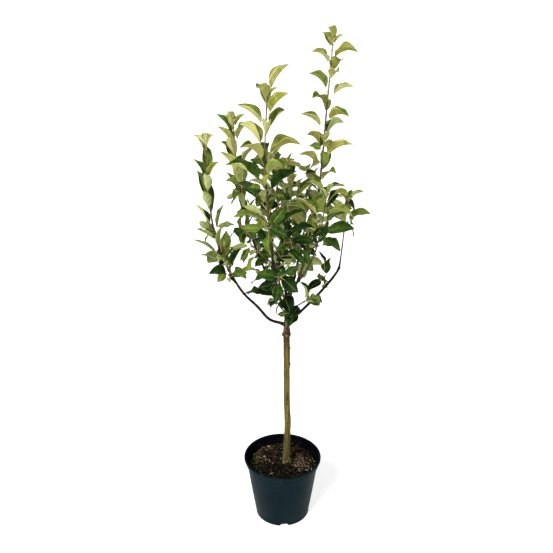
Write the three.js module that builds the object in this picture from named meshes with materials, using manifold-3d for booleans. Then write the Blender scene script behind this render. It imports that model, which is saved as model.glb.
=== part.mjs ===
// A dwarf apple tree on a short clean stem, growing in a round nursery pot.
//
// Millimetres, +Z up. The origin is the centre of the pot's flat underside, which stands on z = 0.
// The export is one group of named meshes: the pot, the potting mix, the trunk, the bare boughs, and one
// mesh for each leafy shoot. Boughs follow one arching formula, and leaves follow one seeded rule.
import * as THREE from "three";
import { mergeVertices } from "three/addons/utils/BufferGeometryUtils.js";
import Module from "manifold-3d";

const wasm = await Module();
wasm.setup();

// ---------------------------------------------------------------- driving dimensions

const GAP = 0.3; // clearance between pieces that touch
const GOLDEN_ANGLE = THREE.MathUtils.degToRad(137.5); // turn from one leaf to the next round a shoot

const POT = {
  height: 207,
  rimRadius: 120,
  rimHeight: 6,
  collarTop: 117, // the collar is the band under the rim
  collarFoot: 114,
  collarHeight: 23,
  shoulder: 3, // height of the slope from the wall out to the collar
  wallTop: 110,
  footRadius: 85,
  footRound: 3,
  edge: 1, // the rim's bevels
  wall: 1.8,
  floor: 3,
  sides: 36,
};

// Drain cut-outs in the pot's bottom edge.
const NOTCH = {
  count: 4,
  width: 30,
  height: 10,
  depth: 13,
  turn: -86, // degrees from +X to the first one
};

const MIX = {
  level: 177, // height of the potting mix round the trunk
  edgeDrop: 7, // it falls this much towards the pot's wall
  relief: 4.5,
  dip: 1, // its uneven top lies this far under the level on average
  heap: { turn: -95, radius: 98, height: 29, spread: 27 }, // pushed up against the front of the rim
  rings: 7,
  sides: 30,
  clearOfWall: 1.3,
  clearOfNotch: 1,
  seatMargin: 4, // the flat seat under the trunk is this much wider than the root flare
  seatCut: 20, // height of the cutter that clears the seat
  seed: 5,
};

const TRUNK = {
  foot: [14, 0], // where its axis leaves the mix
  lean: [-3, 0], // how far the axis has moved at the knuckle
  bow: 2.9, // it is this far off that line towards +X where it bows most
  bowAt: 320, // the height of that place
  bowHeight: 65,
  knuckle: 640, // height of the swelling under the lowest boughs
  bend: 742, // height where the leader starts to turn towards the fork
  bendPower: 1.6, // the turn starts gently
  fork: [43, 20, 792], // where the leader divides
  radius: 9.4,
  radiusAtKnuckle: 9.3,
  shoulder: 70, // height over which it narrows above the knuckle
  radiusAbove: 6.4,
  leader: 720, // height from which the leader tapers on to the fork
  radiusAtFork: 4.6,
  flare: 7, // extra radius of the root flare at the mix
  flareHeight: 38,
  swelling: 2.2,
  swellingHeight: 15,
  sides: 12,
  // heights above the mix where the trunk has a ring of points
  stations: [
    0, 5, 13, 26, 45, 70, 100, 145, 190, 260, 360, 425, 448, 463, 478, 495, 520, 545, 563, 576, 588, 600, 608,
  ],
};

// Old bud scars on the clean stem: height, and degrees round the trunk from +X.
const SCARS = [
  [533, 10],
  [588, 5],
  [470, 130],
  [402, 250],
  [632, 190],
];
const SCAR_RADIUS = 3.2;
const SCAR_SUNK = 0.8; // a scar's centre lies this deep under the bark
const SCAR_HEIGHT = 0.8; // share of its width

const LEAF = {
  petiole: 0.3, // share of the blade's length
  stalkRadius: 0.9,
  halfWidth: 0.33, // share of the blade's length
  thickness: 0.018, // share of the blade's length, at the midrib
  stations: [0.34, 0.72], // where the blade's outline and curve have points
  lengthRange: [0.88, 1.1], // how much one leaf differs from the next
  petioleRange: [0.8, 1.25],
  bendRange: [0.6, 1.25],
  foldRange: [0.7, 1.25],
  angleSpread: 9,
  rollSpread: 22,
  clear: 8, // a blade keeps this far from the blades of other masses
  clearOfOwn: 5.6, // the same inside its own mass
  clearOfLimb: 6.5,
  clearOfStem: 2, // the same for its own shoot, past the stalk
  lowest: 40, // above the potting mix
  tries: 9,
  turnPerTry: 0.42, // radians a leaf is turned aside when its place is taken
};

// A spur is a short side twig, rising as it goes out, with a rosette of broad leaves round its end.
const SPUR = {
  radii: [1.7, 1.4, 1.1],
  outward: 0.8, // its first direction: this share away from the shoot, and
  upward: 0.6, // this share up
  lift: 0.25, // and then it rises further by this share of its reach
  reachRange: [0.6, 1.3],
  clearOfLimb: 7,
  clearOfBlade: 9,
  checks: [0.35, 0.6, 0.8, 1], // where along it those distances are tested
  girth: 1.3, // radius that leaves keep clear of
  rosette: 0.45, // share of its outer half that carries leaves
  leafAngle: 62,
  endLeafAngle: 30,
  turnSpread: 0.3,
  crowding: 0.4, // spurs start up to this share of a step further along
};

// The two places along a limb where it may sag, and over how much of it.
const SAG = [
  { at: 0.08, width: 0.05 },
  { at: 0.23, width: 0.09 },
];

const LIMB_STEP = 48; // between the rings of points along a limb
const LIMB_STEPS = 4; // at least this many
const LIMB_TAPER = 0.8; // power of the share along a limb by which it narrows
const LIMB_NEAR = 0.01; // share of a limb on each side of a place that gives its direction there
const TRUNK_NEAR = 2; // height above and below a place that gives the trunk's direction there
const MASS_FROM = 0.02; // a mass that starts at its limb's foot keeps its space from this share on
const BOUGH_SIDES = 6;
const STEM_SIDES = 5; // of the stem inside a mass of leaves
const TWIG_SIDES = 3;
const CENTRE_LINE_STEP = 8; // between the points that leaves keep clear of
const SLEEVE = 135; // each mass keeps within this distance of its own stem

// Growth of one shoot, where a limb below doesn't say otherwise. Lengths are blade lengths.
const GROWTH = {
  seed: 1,
  spacing: 17, // between leaves along the shoot
  leafFrom: 0.5, // share of the limb where its own leaves start
  leafTo: 0.995,
  blade: [66, 70, 44], // at the start of the leaves, half-way and at the tip
  angle: [56, 24], // between leaf stalk and shoot, at the start and at the tip, degrees
  splay: 0, // how much further the leaves halfway up stand out, degrees
  bend: 62, // how far a blade curls over along its length, degrees
  fold: [24, 50], // how far each half of the blade is folded up, low on the shoot and from its middle on
  spurs: 0, // short side twigs with a rosette of leaves
  spurFrom: 0.1,
  spurTo: 0.6,
  spurReach: 38,
  spurBlade: 58,
  spurLeaves: 4,
  spurFold: 18,
};

// Every limb. It starts on the trunk's axis at a height, at the trunk's fork, or part-way along another
// limb, and then gains `reach` sideways and `rise` upwards. A high `arch` goes out first and up afterwards.
// `sag` is how far it hangs under that line in two places. `bare` is the share of it that is a bough; the
// rest is the stem of its mass of leaves.
const LIMBS = [
  {
    name: "left_low", height: 663, reach: [-209, -71], rise: 549, arch: 3.3, sway: 2, sag: [16, 8.5],
    radii: [4.6, 1.4], bare: 0.3,
    seed: 780, leafFrom: 0.34, spacing: 18, blade: [68, 68, 42], angle: [27, 22], bend: 12,
    fold: [26, 50],
    spurs: 1, spurFrom: 0.32, spurTo: 0.42, spurReach: 26,
  },
  {
    name: "left_fork", on: "left_low", at: 0.29, reach: [-30, -38], rise: 79, arch: 1.1, sway: -8,
    radii: [2.2, 1.3], bare: 0,
    seed: 558, leafFrom: 0.29, spacing: 12, blade: [52, 64, 52], angle: [49, 26], bend: 30,
  },
  {
    name: "left_mid", height: 712, reach: [-147, 86], rise: 515, arch: 2.2, sway: 4, radii: [4, 1.4],
    bare: 0.2,
    seed: 444, leafFrom: 0.45, spacing: 19, blade: [68, 79, 46], angle: [14, 24], bend: 28,
    spurs: 6, spurFrom: 0.22, spurTo: 0.46, spurReach: 44,
  },
  {
    name: "front_tall", height: 719, reach: [-51, -87], rise: 616, arch: 7.2, sway: 9,
    radii: [4.2, 1.5], bare: 0.09,
    seed: 466, leafFrom: 0.36, spacing: 21, blade: [86, 86, 68], angle: [51, 29], bend: 40,
    spurs: 8, spurFrom: 0.12, spurTo: 0.44, spurReach: 50,
  },
  {
    name: "right_tall", height: "fork", reach: [84, 42], rise: 653, arch: 1.9, sway: -10,
    radii: [4.2, 1.4], bare: 0.1,
    seed: 67, leafFrom: 0.27, spacing: 21, blade: [81, 63, 56], angle: [32, 32], splay: 12, bend: 54,
    spurs: 5, spurFrom: 0.12, spurTo: 0.4, spurReach: 46,
  },
  {
    name: "right_low", height: 665, reach: [149, 20], rise: 170, arch: 1.23, sway: 0.2,
    radii: [4.2, 2.5], bare: 1,
  },
  {
    name: "right_outer", on: "right_low", at: 1, reach: [16, -11], rise: 201, arch: 1.1, sway: 1,
    radii: [2.2, 1.3], bare: 0.6,
    seed: 436, leafFrom: 0.62, spacing: 12, blade: [71, 59, 42], angle: [43, 30], bend: 63,
  },
  {
    name: "front_right", height: "fork", reach: [68, -98], rise: 284, arch: 1.9, sway: 4,
    radii: [3, 1.3], bare: 0.42,
    seed: 153, leafFrom: 0.52, spacing: 14, blade: [75, 85, 50], angle: [47, 36], bend: 68,
    spurs: 3, spurFrom: 0.45, spurTo: 0.7, spurReach: 40,
  },
  {
    name: "right_twig", height: 714, reach: [53, -58], rise: 54, arch: 1.2, sway: 8, radii: [1.9, 1.3],
    bare: 0.7,
    seed: 669, leafFrom: 0.74, spacing: 9, blade: [52, 54, 46], angle: [66, 17], bend: 72,
  },
  {
    name: "right_spur", on: "right_low", at: 0.74, reach: [-14, -28], rise: 20, arch: 1, sway: 0,
    radii: [1.6, 1.3], bare: 0,
    seed: 414, leafFrom: 0.71, spacing: 8, blade: [54, 54, 44], angle: [70, 47], bend: 72,
  },
  {
    name: "heart_front", height: 722, reach: [-12, -33], rise: 53, arch: 1.1, sway: 0,
    radii: [2.4, 1.6], bare: 0,
    seed: 452, leafFrom: 0.5, spacing: 7, blade: [74, 76, 64], angle: [70, 57], bend: 67,
    fold: [14, 14],
  },
  {
    name: "heart_left", height: 700, reach: [-49, -9], rise: 74, arch: 1.2, sway: 9, radii: [2.4, 1.5],
    bare: 0,
    seed: 796, leafFrom: 0.63, spacing: 9, blade: [66, 68, 54], angle: [62, 44], bend: 68,
    fold: [14, 14],
  },
  {
    name: "heart_right", height: 682, reach: [15, -7], rise: 22, arch: 1, sway: 0, radii: [1.8, 1.4],
    bare: 0,
    seed: 340, leafFrom: 0.78, spacing: 7, blade: [54, 64, 56], angle: [110, 70], bend: 56,
    fold: [12, 12],
  },
  {
    name: "back_right", height: 746, reach: [1, 122], rise: 334, arch: 2.9, sway: 12, radii: [3.8, 1.4],
    bare: 0.14,
    seed: 703, leafFrom: 0.49, spacing: 19, blade: [77, 86, 54], angle: [48, 25], bend: 30,
    spurs: 6, spurFrom: 0.18, spurTo: 0.5, spurReach: 44,
  },
  {
    name: "back_left", height: 726, reach: [-37, 178], rise: 386, arch: 4.5, sway: 11,
    radii: [3.8, 1.4], bare: 0.16,
    seed: 823, leafFrom: 0.43, spacing: 18, blade: [85, 86, 51], angle: [34, 39], bend: 47,
    spurs: 5, spurFrom: 0.2, spurTo: 0.5, spurReach: 42,
  },
  {
    name: "back_low", height: 690, reach: [55, 215], rise: 289, arch: 2.3, sway: 4, radii: [4, 1.4],
    bare: 0.26,
    seed: 167, leafFrom: 0.43, spacing: 15, blade: [74, 86, 42], angle: [34, 35], bend: 53,
    spurs: 4, spurFrom: 0.3, spurTo: 0.5, spurReach: 36,
  },
];

const FINISHES = {
  pot: { color: 0x1c2a2d, roughness: 0.45 },
  mix: { color: 0x2b211a, roughness: 0.95 },
  trunk: { color: 0x6f6434, roughness: 0.7 },
  bough: { color: 0x3f322b, roughness: 0.7 },
  leaves: { color: 0x6d7f35, roughness: 0.55 },
};

// ---------------------------------------------------------------- small helpers

const vec = (x, y, z) => new THREE.Vector3(x, y, z);
const UP = vec(0, 0, 1);
const radians = THREE.MathUtils.degToRad;
const mix = THREE.MathUtils.lerp;
const within = ([low, high], share) => mix(low, high, share);
const spread = (most, share) => mix(-most, most, share);

// The same random numbers each run, from 0 to 1.
function seeded(seed) {
  let state = Math.imul(seed, 2654435761) >>> 0;
  const next = () => {
    state = (Math.imul(state, 1664525) + 1013904223) >>> 0;
    return state / 4294967296;
  };
  next();
  next();
  return next;
}

// A three.js geometry as a manifold-3d solid.
function solidOf(geometry) {
  const bare = new THREE.BufferGeometry();
  bare.setAttribute("position", geometry.getAttribute("position"));
  bare.setIndex(geometry.getIndex());
  const merged = mergeVertices(bare, 1e-4);
  return new wasm.Manifold(
    new wasm.Mesh({
      numProp: 3,
      vertProperties: merged.getAttribute("position").array,
      triVerts: new Uint32Array(merged.getIndex().array),
    }),
  );
}

// A manifold-3d solid as a three.js geometry.
function geometryOf(solid) {
  const mesh = solid.getMesh();
  const geometry = new THREE.BufferGeometry();
  geometry.setAttribute("position", new THREE.BufferAttribute(mesh.vertProperties, mesh.numProp));
  geometry.setIndex(new THREE.BufferAttribute(mesh.triVerts, 1));
  geometry.computeVertexNormals();
  return geometry;
}

function meshOf(points, faces) {
  const geometry = new THREE.BufferGeometry();
  const numbers = points.flatMap((point) => point.toArray());
  geometry.setAttribute("position", new THREE.Float32BufferAttribute(numbers, 3));
  geometry.setIndex(faces);
  return geometry;
}

// A closed skin over rings of points. All rings have the same number of points, counter-clockwise as seen
// from the last ring, except that the last may be a single point.
function skin(rings) {
  const sides = rings[0].length;
  const faces = [];
  for (let ring = 0; ring + 1 < rings.length; ring++) {
    for (let side = 0; side < sides; side++) {
      const [a, b] = [ring * sides + side, ring * sides + ((side + 1) % sides)];
      if (rings[ring + 1].length === 1) {
        faces.push(a, b, (ring + 1) * sides);
      } else {
        faces.push(a, b, b + sides, a, b + sides, a + sides);
      }
    }
  }
  for (let side = 1; side + 1 < sides; side++) {
    faces.push(0, side + 1, side);
    if (rings.at(-1).length > 1) {
      const last = (rings.length - 1) * sides;
      faces.push(last, last + side, last + side + 1);
    }
  }
  return meshOf(rings.flat(), faces);
}

// Two directions square to `along`, the first as close to +Y as can be.
function squareTo(along) {
  const across = vec(0, 1, 0).addScaledVector(along, -along.y).normalize();
  return [across, vec(0, 0, 0).crossVectors(along, across)];
}

// The direction square to `along` at an angle round it.
function awayFrom(along, turn) {
  const [a, b] = squareTo(along);
  return a.multiplyScalar(Math.cos(turn)).addScaledVector(b, Math.sin(turn));
}

function ringRound(centre, along, radius, sides) {
  return Array.from({ length: sides }, (_, side) =>
    centre.clone().addScaledVector(awayFrom(along, (2 * Math.PI * side) / sides), radius),
  );
}

// ---------------------------------------------------------------- pot and potting mix

const potRadiusAt = (z) => mix(POT.footRadius, POT.wallTop, z / (POT.height - POT.collarHeight));

// The blocks that cut the drain openings, grown by `extra` on each side.
function drainCutters(extra) {
  return Array.from({ length: NOTCH.count }, (_, n) => {
    const size = [NOTCH.depth, NOTCH.width / 2, NOTCH.height].map((half) => 2 * (half + extra));
    const block = new THREE.BoxGeometry(...size).translate(POT.footRadius, 0, 0);
    return solidOf(block.rotateZ(radians(NOTCH.turn + (360 * n) / NOTCH.count)));
  });
}

function makePot() {
  const rimFoot = POT.height - POT.rimHeight;
  const collarFoot = rimFoot - POT.collarHeight;
  const wallTop = collarFoot - POT.shoulder;
  const profile = [
    [0, 0],
    [POT.footRadius - POT.footRound, 0],
    [POT.footRadius, POT.footRound],
    [potRadiusAt(wallTop), wallTop],
    [POT.collarFoot, collarFoot],
    [POT.collarTop, rimFoot - POT.edge],
    [POT.rimRadius, rimFoot],
    [POT.rimRadius, POT.height - POT.edge],
    [POT.rimRadius - POT.edge, POT.height],
    [POT.collarTop - POT.wall, POT.height - POT.edge],
    [POT.collarFoot - POT.wall, collarFoot + POT.edge],
    [potRadiusAt(wallTop) - POT.wall, wallTop],
    [POT.footRadius - POT.wall, POT.floor],
    [0, POT.floor],
  ].map(([r, z]) => new THREE.Vector2(r, z));
  // A lathe turns about +Y, so it is tipped to stand on +Z.
  const shell = solidOf(new THREE.LatheGeometry(profile, POT.sides).rotateX(Math.PI / 2));
  return drainCutters(0).reduce((pot, cutter) => pot.subtract(cutter), shell);
}

// The mix fills the pot to an uneven top, with a flat seat for the trunk and clear of the drain cut-outs.
function makeMix() {
  const random = seeded(MIX.seed);
  const ring = (radius, height) => ringRound(vec(0, 0, height), UP, radius, MIX.sides);
  const heapTurn = radians(MIX.heap.turn);
  const heapAt = vec(MIX.heap.radius * Math.cos(heapTurn), MIX.heap.radius * Math.sin(heapTurn), 0);
  // The pot's inside has flats between its corners, and the mix stays inside those.
  const fit = (z) => (potRadiusAt(z) - POT.wall) * Math.cos(Math.PI / POT.sides) - MIX.clearOfWall;
  const bottom = POT.floor + GAP;
  const edge = fit(MIX.level - MIX.edgeDrop - MIX.relief);
  const rings = [ring(fit(bottom), bottom)];
  for (let n = 0; n < MIX.rings; n++) {
    const share = 1 - n / MIX.rings;
    const points = ring(edge * share, 0);
    for (const point of points) {
      const heap = MIX.heap.height * Math.exp(-((point.distanceTo(heapAt) / MIX.heap.spread) ** 2));
      point.z = MIX.level - MIX.dip - MIX.edgeDrop * share ** 3 + heap + spread(MIX.relief / 2, random());
    }
    rings.push(points);
  }
  rings.push([vec(0, 0, MIX.level)]);

  const seatRadius = TRUNK.radius + TRUNK.flare + MIX.seatMargin;
  const seat = new THREE.CylinderGeometry(seatRadius, seatRadius, MIX.seatCut, MIX.sides)
    .rotateX(Math.PI / 2)
    .translate(TRUNK.foot[0], TRUNK.foot[1], MIX.level + MIX.seatCut / 2 - GAP);
  const cutters = [solidOf(seat), ...drainCutters(MIX.clearOfNotch)];
  return cutters.reduce((solid, cutter) => solid.subtract(cutter), solidOf(skin(rings)));
}

// ---------------------------------------------------------------- trunk and limbs

// The trunk's axis: nearly upright to the bend, with one slight bow, then over to the fork.
function trunkAxis(z) {
  const rise = (Math.min(z, TRUNK.bend) - MIX.level) / (TRUNK.knuckle - MIX.level);
  const over = Math.max(0, (z - TRUNK.bend) / (TRUNK.fork[2] - TRUNK.bend)) ** TRUNK.bendPower;
  const bow = TRUNK.bow * Math.exp(-(((z - TRUNK.bowAt) / TRUNK.bowHeight) ** 2));
  const x = TRUNK.foot[0] + TRUNK.lean[0] * rise + bow;
  const y = TRUNK.foot[1] + TRUNK.lean[1] * rise;
  return vec(mix(x, TRUNK.fork[0], over), mix(y, TRUNK.fork[1], over), z);
}

function trunkRadius(z) {
  const share = (z - MIX.level) / (TRUNK.knuckle - MIX.level);
  const lower = mix(TRUNK.radius, TRUNK.radiusAtKnuckle, share);
  const tapered = Math.max(0, (z - TRUNK.leader) / (TRUNK.fork[2] - TRUNK.leader));
  const upper = mix(TRUNK.radiusAbove, TRUNK.radiusAtFork, tapered);
  const narrowed = THREE.MathUtils.smoothstep(z, TRUNK.knuckle, TRUNK.knuckle + TRUNK.shoulder);
  const flare = TRUNK.flare * Math.exp(-(z - MIX.level) / TRUNK.flareHeight);
  const swelling = TRUNK.swelling * Math.exp(-(((z - TRUNK.knuckle) / TRUNK.swellingHeight) ** 2));
  return mix(lower, upper, narrowed) + flare + swelling;
}

// The trunk as a skin, grown outwards by `extra` where it is used to cut a limb's foot.
function trunkSolid(extra) {
  const heights = [...TRUNK.stations.map((above) => MIX.level + above), TRUNK.fork[2]];
  const rings = heights.map((z, n) => {
    const ahead = trunkAxis(Math.min(z + TRUNK_NEAR, TRUNK.fork[2]));
    const along = n === 0 ? UP : ahead.sub(trunkAxis(z - TRUNK_NEAR)).normalize();
    return ringRound(trunkAxis(z), along, trunkRadius(z) + extra, TRUNK.sides);
  });
  rings.at(-1).forEach((point) => (point.z += extra));
  return solidOf(skin(rings));
}

function makeTrunk() {
  let trunk = trunkSolid(0);
  for (const [height, degrees] of SCARS) {
    const turn = radians(degrees);
    const out = trunkRadius(height) - SCAR_SUNK;
    const at = trunkAxis(height).add(vec(out * Math.cos(turn), out * Math.sin(turn), 0));
    const scar = new THREE.IcosahedronGeometry(SCAR_RADIUS, 0).scale(1, 1, SCAR_HEIGHT);
    trunk = trunk.add(solidOf(scar.translate(...at.toArray())));
  }
  return trunk;
}

const limbNamed = (name) => LIMBS.find((limb) => limb.name === name);

function limbFoot(limb) {
  if (limb.on) {
    return limbPoint(limbNamed(limb.on), limb.at);
  }
  return trunkAxis(limb.height === "fork" ? TRUNK.fork[2] : limb.height);
}

// A point on a limb's centre line, from share 0 at its foot to 1 at its tip.
function limbPoint(limb, share) {
  const [x, y] = limb.reach;
  const out = 1 - (1 - share) ** limb.arch;
  const side = (limb.sway * Math.sin(2 * Math.PI * share)) / Math.hypot(x, y);
  const point = limbFoot(limb).add(vec(x * out - y * side, y * out + x * side, limb.rise * share));
  for (const [n, depth] of (limb.sag ?? []).entries()) {
    point.z -= depth * Math.exp(-(((share - SAG[n].at) / SAG[n].width) ** 2));
  }
  return point;
}

function limbAlong(limb, share) {
  const [behind, ahead] = [Math.max(0, share - LIMB_NEAR), Math.min(1, share + LIMB_NEAR)];
  return limbPoint(limb, ahead).sub(limbPoint(limb, behind)).normalize();
}

const limbRadius = (limb, share) => within(limb.radii, share ** LIMB_TAPER);

function limbLength(limb) {
  const steps = 20;
  let length = 0;
  for (let n = 1; n <= steps; n++) {
    length += limbPoint(limb, n / steps).distanceTo(limbPoint(limb, (n - 1) / steps));
  }
  return length;
}

// The stretch of a limb between two shares of its length, as a solid.
function limbSolid(limb, from, to, sides, extra = 0) {
  const steps = Math.max(LIMB_STEPS, Math.round(((to - from) * limbLength(limb)) / LIMB_STEP));
  const rings = Array.from({ length: steps + 1 }, (_, n) => {
    const share = mix(from, to, n / steps);
    const radius = limbRadius(limb, share) + extra;
    return ringRound(limbPoint(limb, share), limbAlong(limb, share), radius, sides);
  });
  return solidOf(skin(rings));
}

// ---------------------------------------------------------------- leaves

// Faces between the points of a leaf: 0-2 stalk foot, 3-5 stalk end, 6-9 and 10-13 blade, 14 tip.
const LEAF_FACES = [
  [0, 2, 1],
  [0, 1, 4], [0, 4, 3], [1, 2, 5], [1, 5, 4], [2, 0, 3], [2, 3, 5],
  [5, 3, 6], [3, 7, 6], [3, 4, 8], [3, 8, 7], [4, 9, 8], [4, 5, 9], [5, 6, 9],
  [6, 7, 11], [6, 11, 10], [7, 8, 12], [7, 12, 11], [8, 9, 13], [8, 13, 12], [9, 6, 10], [9, 10, 13],
  [10, 11, 14], [11, 12, 14], [12, 13, 14], [13, 10, 14],
].flat();

const BLADE_SAMPLES = [0, 1 / 6, 1 / 3, 0.5, 2 / 3, 5 / 6, 1];
const ACROSS_SAMPLES = [-1, -0.5, 0, 0.5, 1];

// Half the blade's width at a share of its length: round below the middle, with a drawn-out tip.
const bladeOutline = (share) => Math.sin(Math.PI * Math.min(share, 1) ** 0.82) ** 0.8;

// The frame of a leaf at a share of its blade's length. `share` below 0 is on the stalk.
function leafFrame(leaf, share) {
  const turned = leaf.angle + leaf.bend * Math.max(0, share);
  const [cos, sin] = [Math.cos(turned), Math.sin(turned)];
  const along = leaf.axis.clone().multiplyScalar(cos).addScaledVector(leaf.out, sin);
  const face = leaf.axis.clone().multiplyScalar(sin).addScaledVector(leaf.out, -cos);
  const side = vec(0, 0, 0).crossVectors(face, along);
  const [level, tilt] = [Math.cos(leaf.roll), Math.sin(leaf.roll)];
  return {
    along,
    side: side.clone().multiplyScalar(level).addScaledVector(face, tilt),
    face: face.multiplyScalar(level).addScaledVector(side, -tilt),
  };
}

// Where the midrib is at a share of the blade's length: an arc that starts at the end of the stalk.
function leafMidrib(leaf, share) {
  const [from, to] = [leaf.angle, leaf.angle + leaf.bend * share];
  const radius = leaf.length / leaf.bend;
  return leaf.foot
    .clone()
    .addScaledVector(leafFrame(leaf, 0).along, leaf.stalk)
    .addScaledVector(leaf.axis, radius * (Math.sin(to) - Math.sin(from)))
    .addScaledVector(leaf.out, radius * (Math.cos(from) - Math.cos(to)));
}

function bladePoint(leaf, share, across) {
  const { side, face } = leafFrame(leaf, share);
  const half = leaf.length * LEAF.halfWidth * bladeOutline(share) * across;
  return leafMidrib(leaf, share)
    .addScaledVector(side, half * Math.cos(leaf.fold))
    .addScaledVector(face, Math.abs(half) * Math.sin(leaf.fold));
}

// A leaf: a three-sided stalk, two rings of the blade's left edge, ridge, right edge and keel, and a tip.
function leafSolid(leaf) {
  const { along, side, face } = leafFrame(leaf, 0);
  const stalkRing = (out, radius) =>
    [90, 210, 330].map((turn) =>
      leaf.foot
        .clone()
        .addScaledVector(along, out)
        .addScaledVector(side, radius * Math.cos(radians(turn)))
        .addScaledVector(face, radius * Math.sin(radians(turn))),
    );
  const bladeRing = (share) => {
    const thick = leafFrame(leaf, share).face.multiplyScalar((leaf.length * LEAF.thickness) / 2);
    const [ridge, keel] = [leafMidrib(leaf, share).add(thick), leafMidrib(leaf, share).sub(thick)];
    return [bladePoint(leaf, share, 1), ridge, bladePoint(leaf, share, -1), keel];
  };
  const points = [
    ...stalkRing(0, LEAF.stalkRadius),
    ...stalkRing(leaf.stalk, LEAF.stalkRadius),
    ...LEAF.stations.flatMap(bladeRing),
    leafMidrib(leaf, 1),
  ];
  return solidOf(meshOf(points, LEAF_FACES));
}

// ---------------------------------------------------------------- growth

const taken = { blades: [], limbs: [] }; // what later leaves keep clear of

// A limb's centre line as points with radii.
function centreLine(limb, from = 0) {
  const steps = Math.ceil(((1 - from) * limbLength(limb)) / CENTRE_LINE_STEP);
  return Array.from({ length: steps + 1 }, (_, n) => {
    const share = mix(from, 1, n / steps);
    return { mass: limb.name, at: limbPoint(limb, share), radius: limbRadius(limb, share) };
  });
}

// Points on a leaf: one on its stalk, one where the blade starts, then all over the blade.
function leafSamples(leaf) {
  const points = [leaf.foot.clone().addScaledVector(leafFrame(leaf, 0).along, leaf.stalk * 0.6)];
  for (const share of BLADE_SAMPLES) {
    for (const across of share % 1 === 0 ? [0] : ACROSS_SAMPLES) {
      points.push(bladePoint(leaf, share, across));
    }
  }
  return points;
}
const BLADE_FIRST = 2; // the first sample that lies on the open blade

const anyWithin = (points, centre, distance) => points.some((point) => point.distanceTo(centre) < distance);

// True if a leaf stays in its mass's own space and clear of every limb and blade placed so far.
function leafFits(leaf, mass, stem) {
  const samples = leafSamples(leaf);
  const blade = samples.slice(BLADE_FIRST);
  if (samples.some((p) => p.z < MIX.level + LEAF.lowest || !anyWithin(stem, p, SLEEVE))) {
    return false;
  }
  for (const limb of taken.limbs) {
    const own = limb.mass === mass;
    const clear = limb.radius + (own ? LEAF.clearOfStem : LEAF.clearOfLimb);
    if (anyWithin(own ? blade : samples, limb.at, clear)) {
      return false;
    }
  }
  const placed = { mass, samples, blade, centre: leafMidrib(leaf, 0.5), near: leaf.length / 2 };
  for (const other of taken.blades) {
    const own = other.mass === mass;
    const reach = placed.near + other.near + LEAF.clear;
    const mine = own ? blade : samples;
    const theirs = own ? other.blade : other.samples;
    const clear = own ? LEAF.clearOfOwn : LEAF.clear;
    if (other.centre.distanceTo(placed.centre) <= reach && theirs.some((p) => anyWithin(mine, p, clear))) {
      return false;
    }
  }
  taken.blades.push(placed);
  return true;
}

// Places one leaf, turning it aside where its place is taken. It returns null where nothing fits.
function placeLeaf(mass, stem, wish) {
  for (let attempt = 0; attempt < LEAF.tries; attempt++) {
    const aside = Math.ceil(attempt / 2) * LEAF.turnPerTry * (attempt % 2 ? 1 : -1);
    const leaf = { ...wish, out: awayFrom(wish.axis, wish.turn + aside) };
    if (leafFits(leaf, mass, stem)) {
      return leaf;
    }
  }
  return null;
}

// A leaf as the rule would have it, with its small differences from the next one.
function leafWish(random, { foot, axis, turn, blade, angle, fold, bend }) {
  return {
    foot,
    axis,
    turn,
    length: blade * within(LEAF.lengthRange, random()),
    stalk: blade * LEAF.petiole * within(LEAF.petioleRange, random()),
    angle: radians(angle + spread(LEAF.angleSpread, random())),
    bend: radians(bend * within(LEAF.bendRange, random())),
    fold: radians(fold * within(LEAF.foldRange, random())),
    roll: radians(spread(LEAF.rollSpread, random())),
  };
}

// The leaves and spurs of one limb, in order from its foot to its tip.
function growMass(limb) {
  const rules = { ...GROWTH, ...limb };
  const random = seeded(rules.seed);
  const stem = centreLine(limb, Math.max(limb.bare, MASS_FROM)).map((point) => point.at);
  const grown = { twigs: [], leaves: [] };

  for (let n = 0; n < rules.spurs; n++) {
    const step = (n + SPUR.crowding * random()) / Math.max(1, rules.spurs - 1);
    const share = mix(rules.spurFrom, rules.spurTo, step);
    const turn = GOLDEN_ANGLE * n + rules.seed + spread(SPUR.turnSpread, random());
    const spur = growSpur(limb, rules, random, stem, share, turn);
    grown.twigs.push(...spur.twigs);
    grown.leaves.push(...spur.leaves);
  }

  const count = Math.max(1, Math.round(((1 - rules.leafFrom) * limbLength(limb)) / rules.spacing));
  const [low, middle, tip] = rules.blade;
  for (let n = 0; n <= count; n++) {
    const part = n / count;
    const share = mix(rules.leafFrom, rules.leafTo, part);
    const wish = leafWish(random, {
      foot: limbPoint(limb, share),
      axis: limbAlong(limb, share),
      turn: GOLDEN_ANGLE * n + rules.seed,
      blade: part < 0.5 ? mix(low, middle, part * 2) : mix(middle, tip, (part - 0.5) * 2),
      angle: within(rules.angle, part) + rules.splay * Math.sin(Math.PI * part),
      fold: within(rules.fold, Math.min(1, part * 2)),
      bend: rules.bend,
    });
    const leaf = placeLeaf(limb.name, stem, wish);
    if (leaf) {
      grown.leaves.push(leaf);
    }
  }
  return grown;
}

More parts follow.
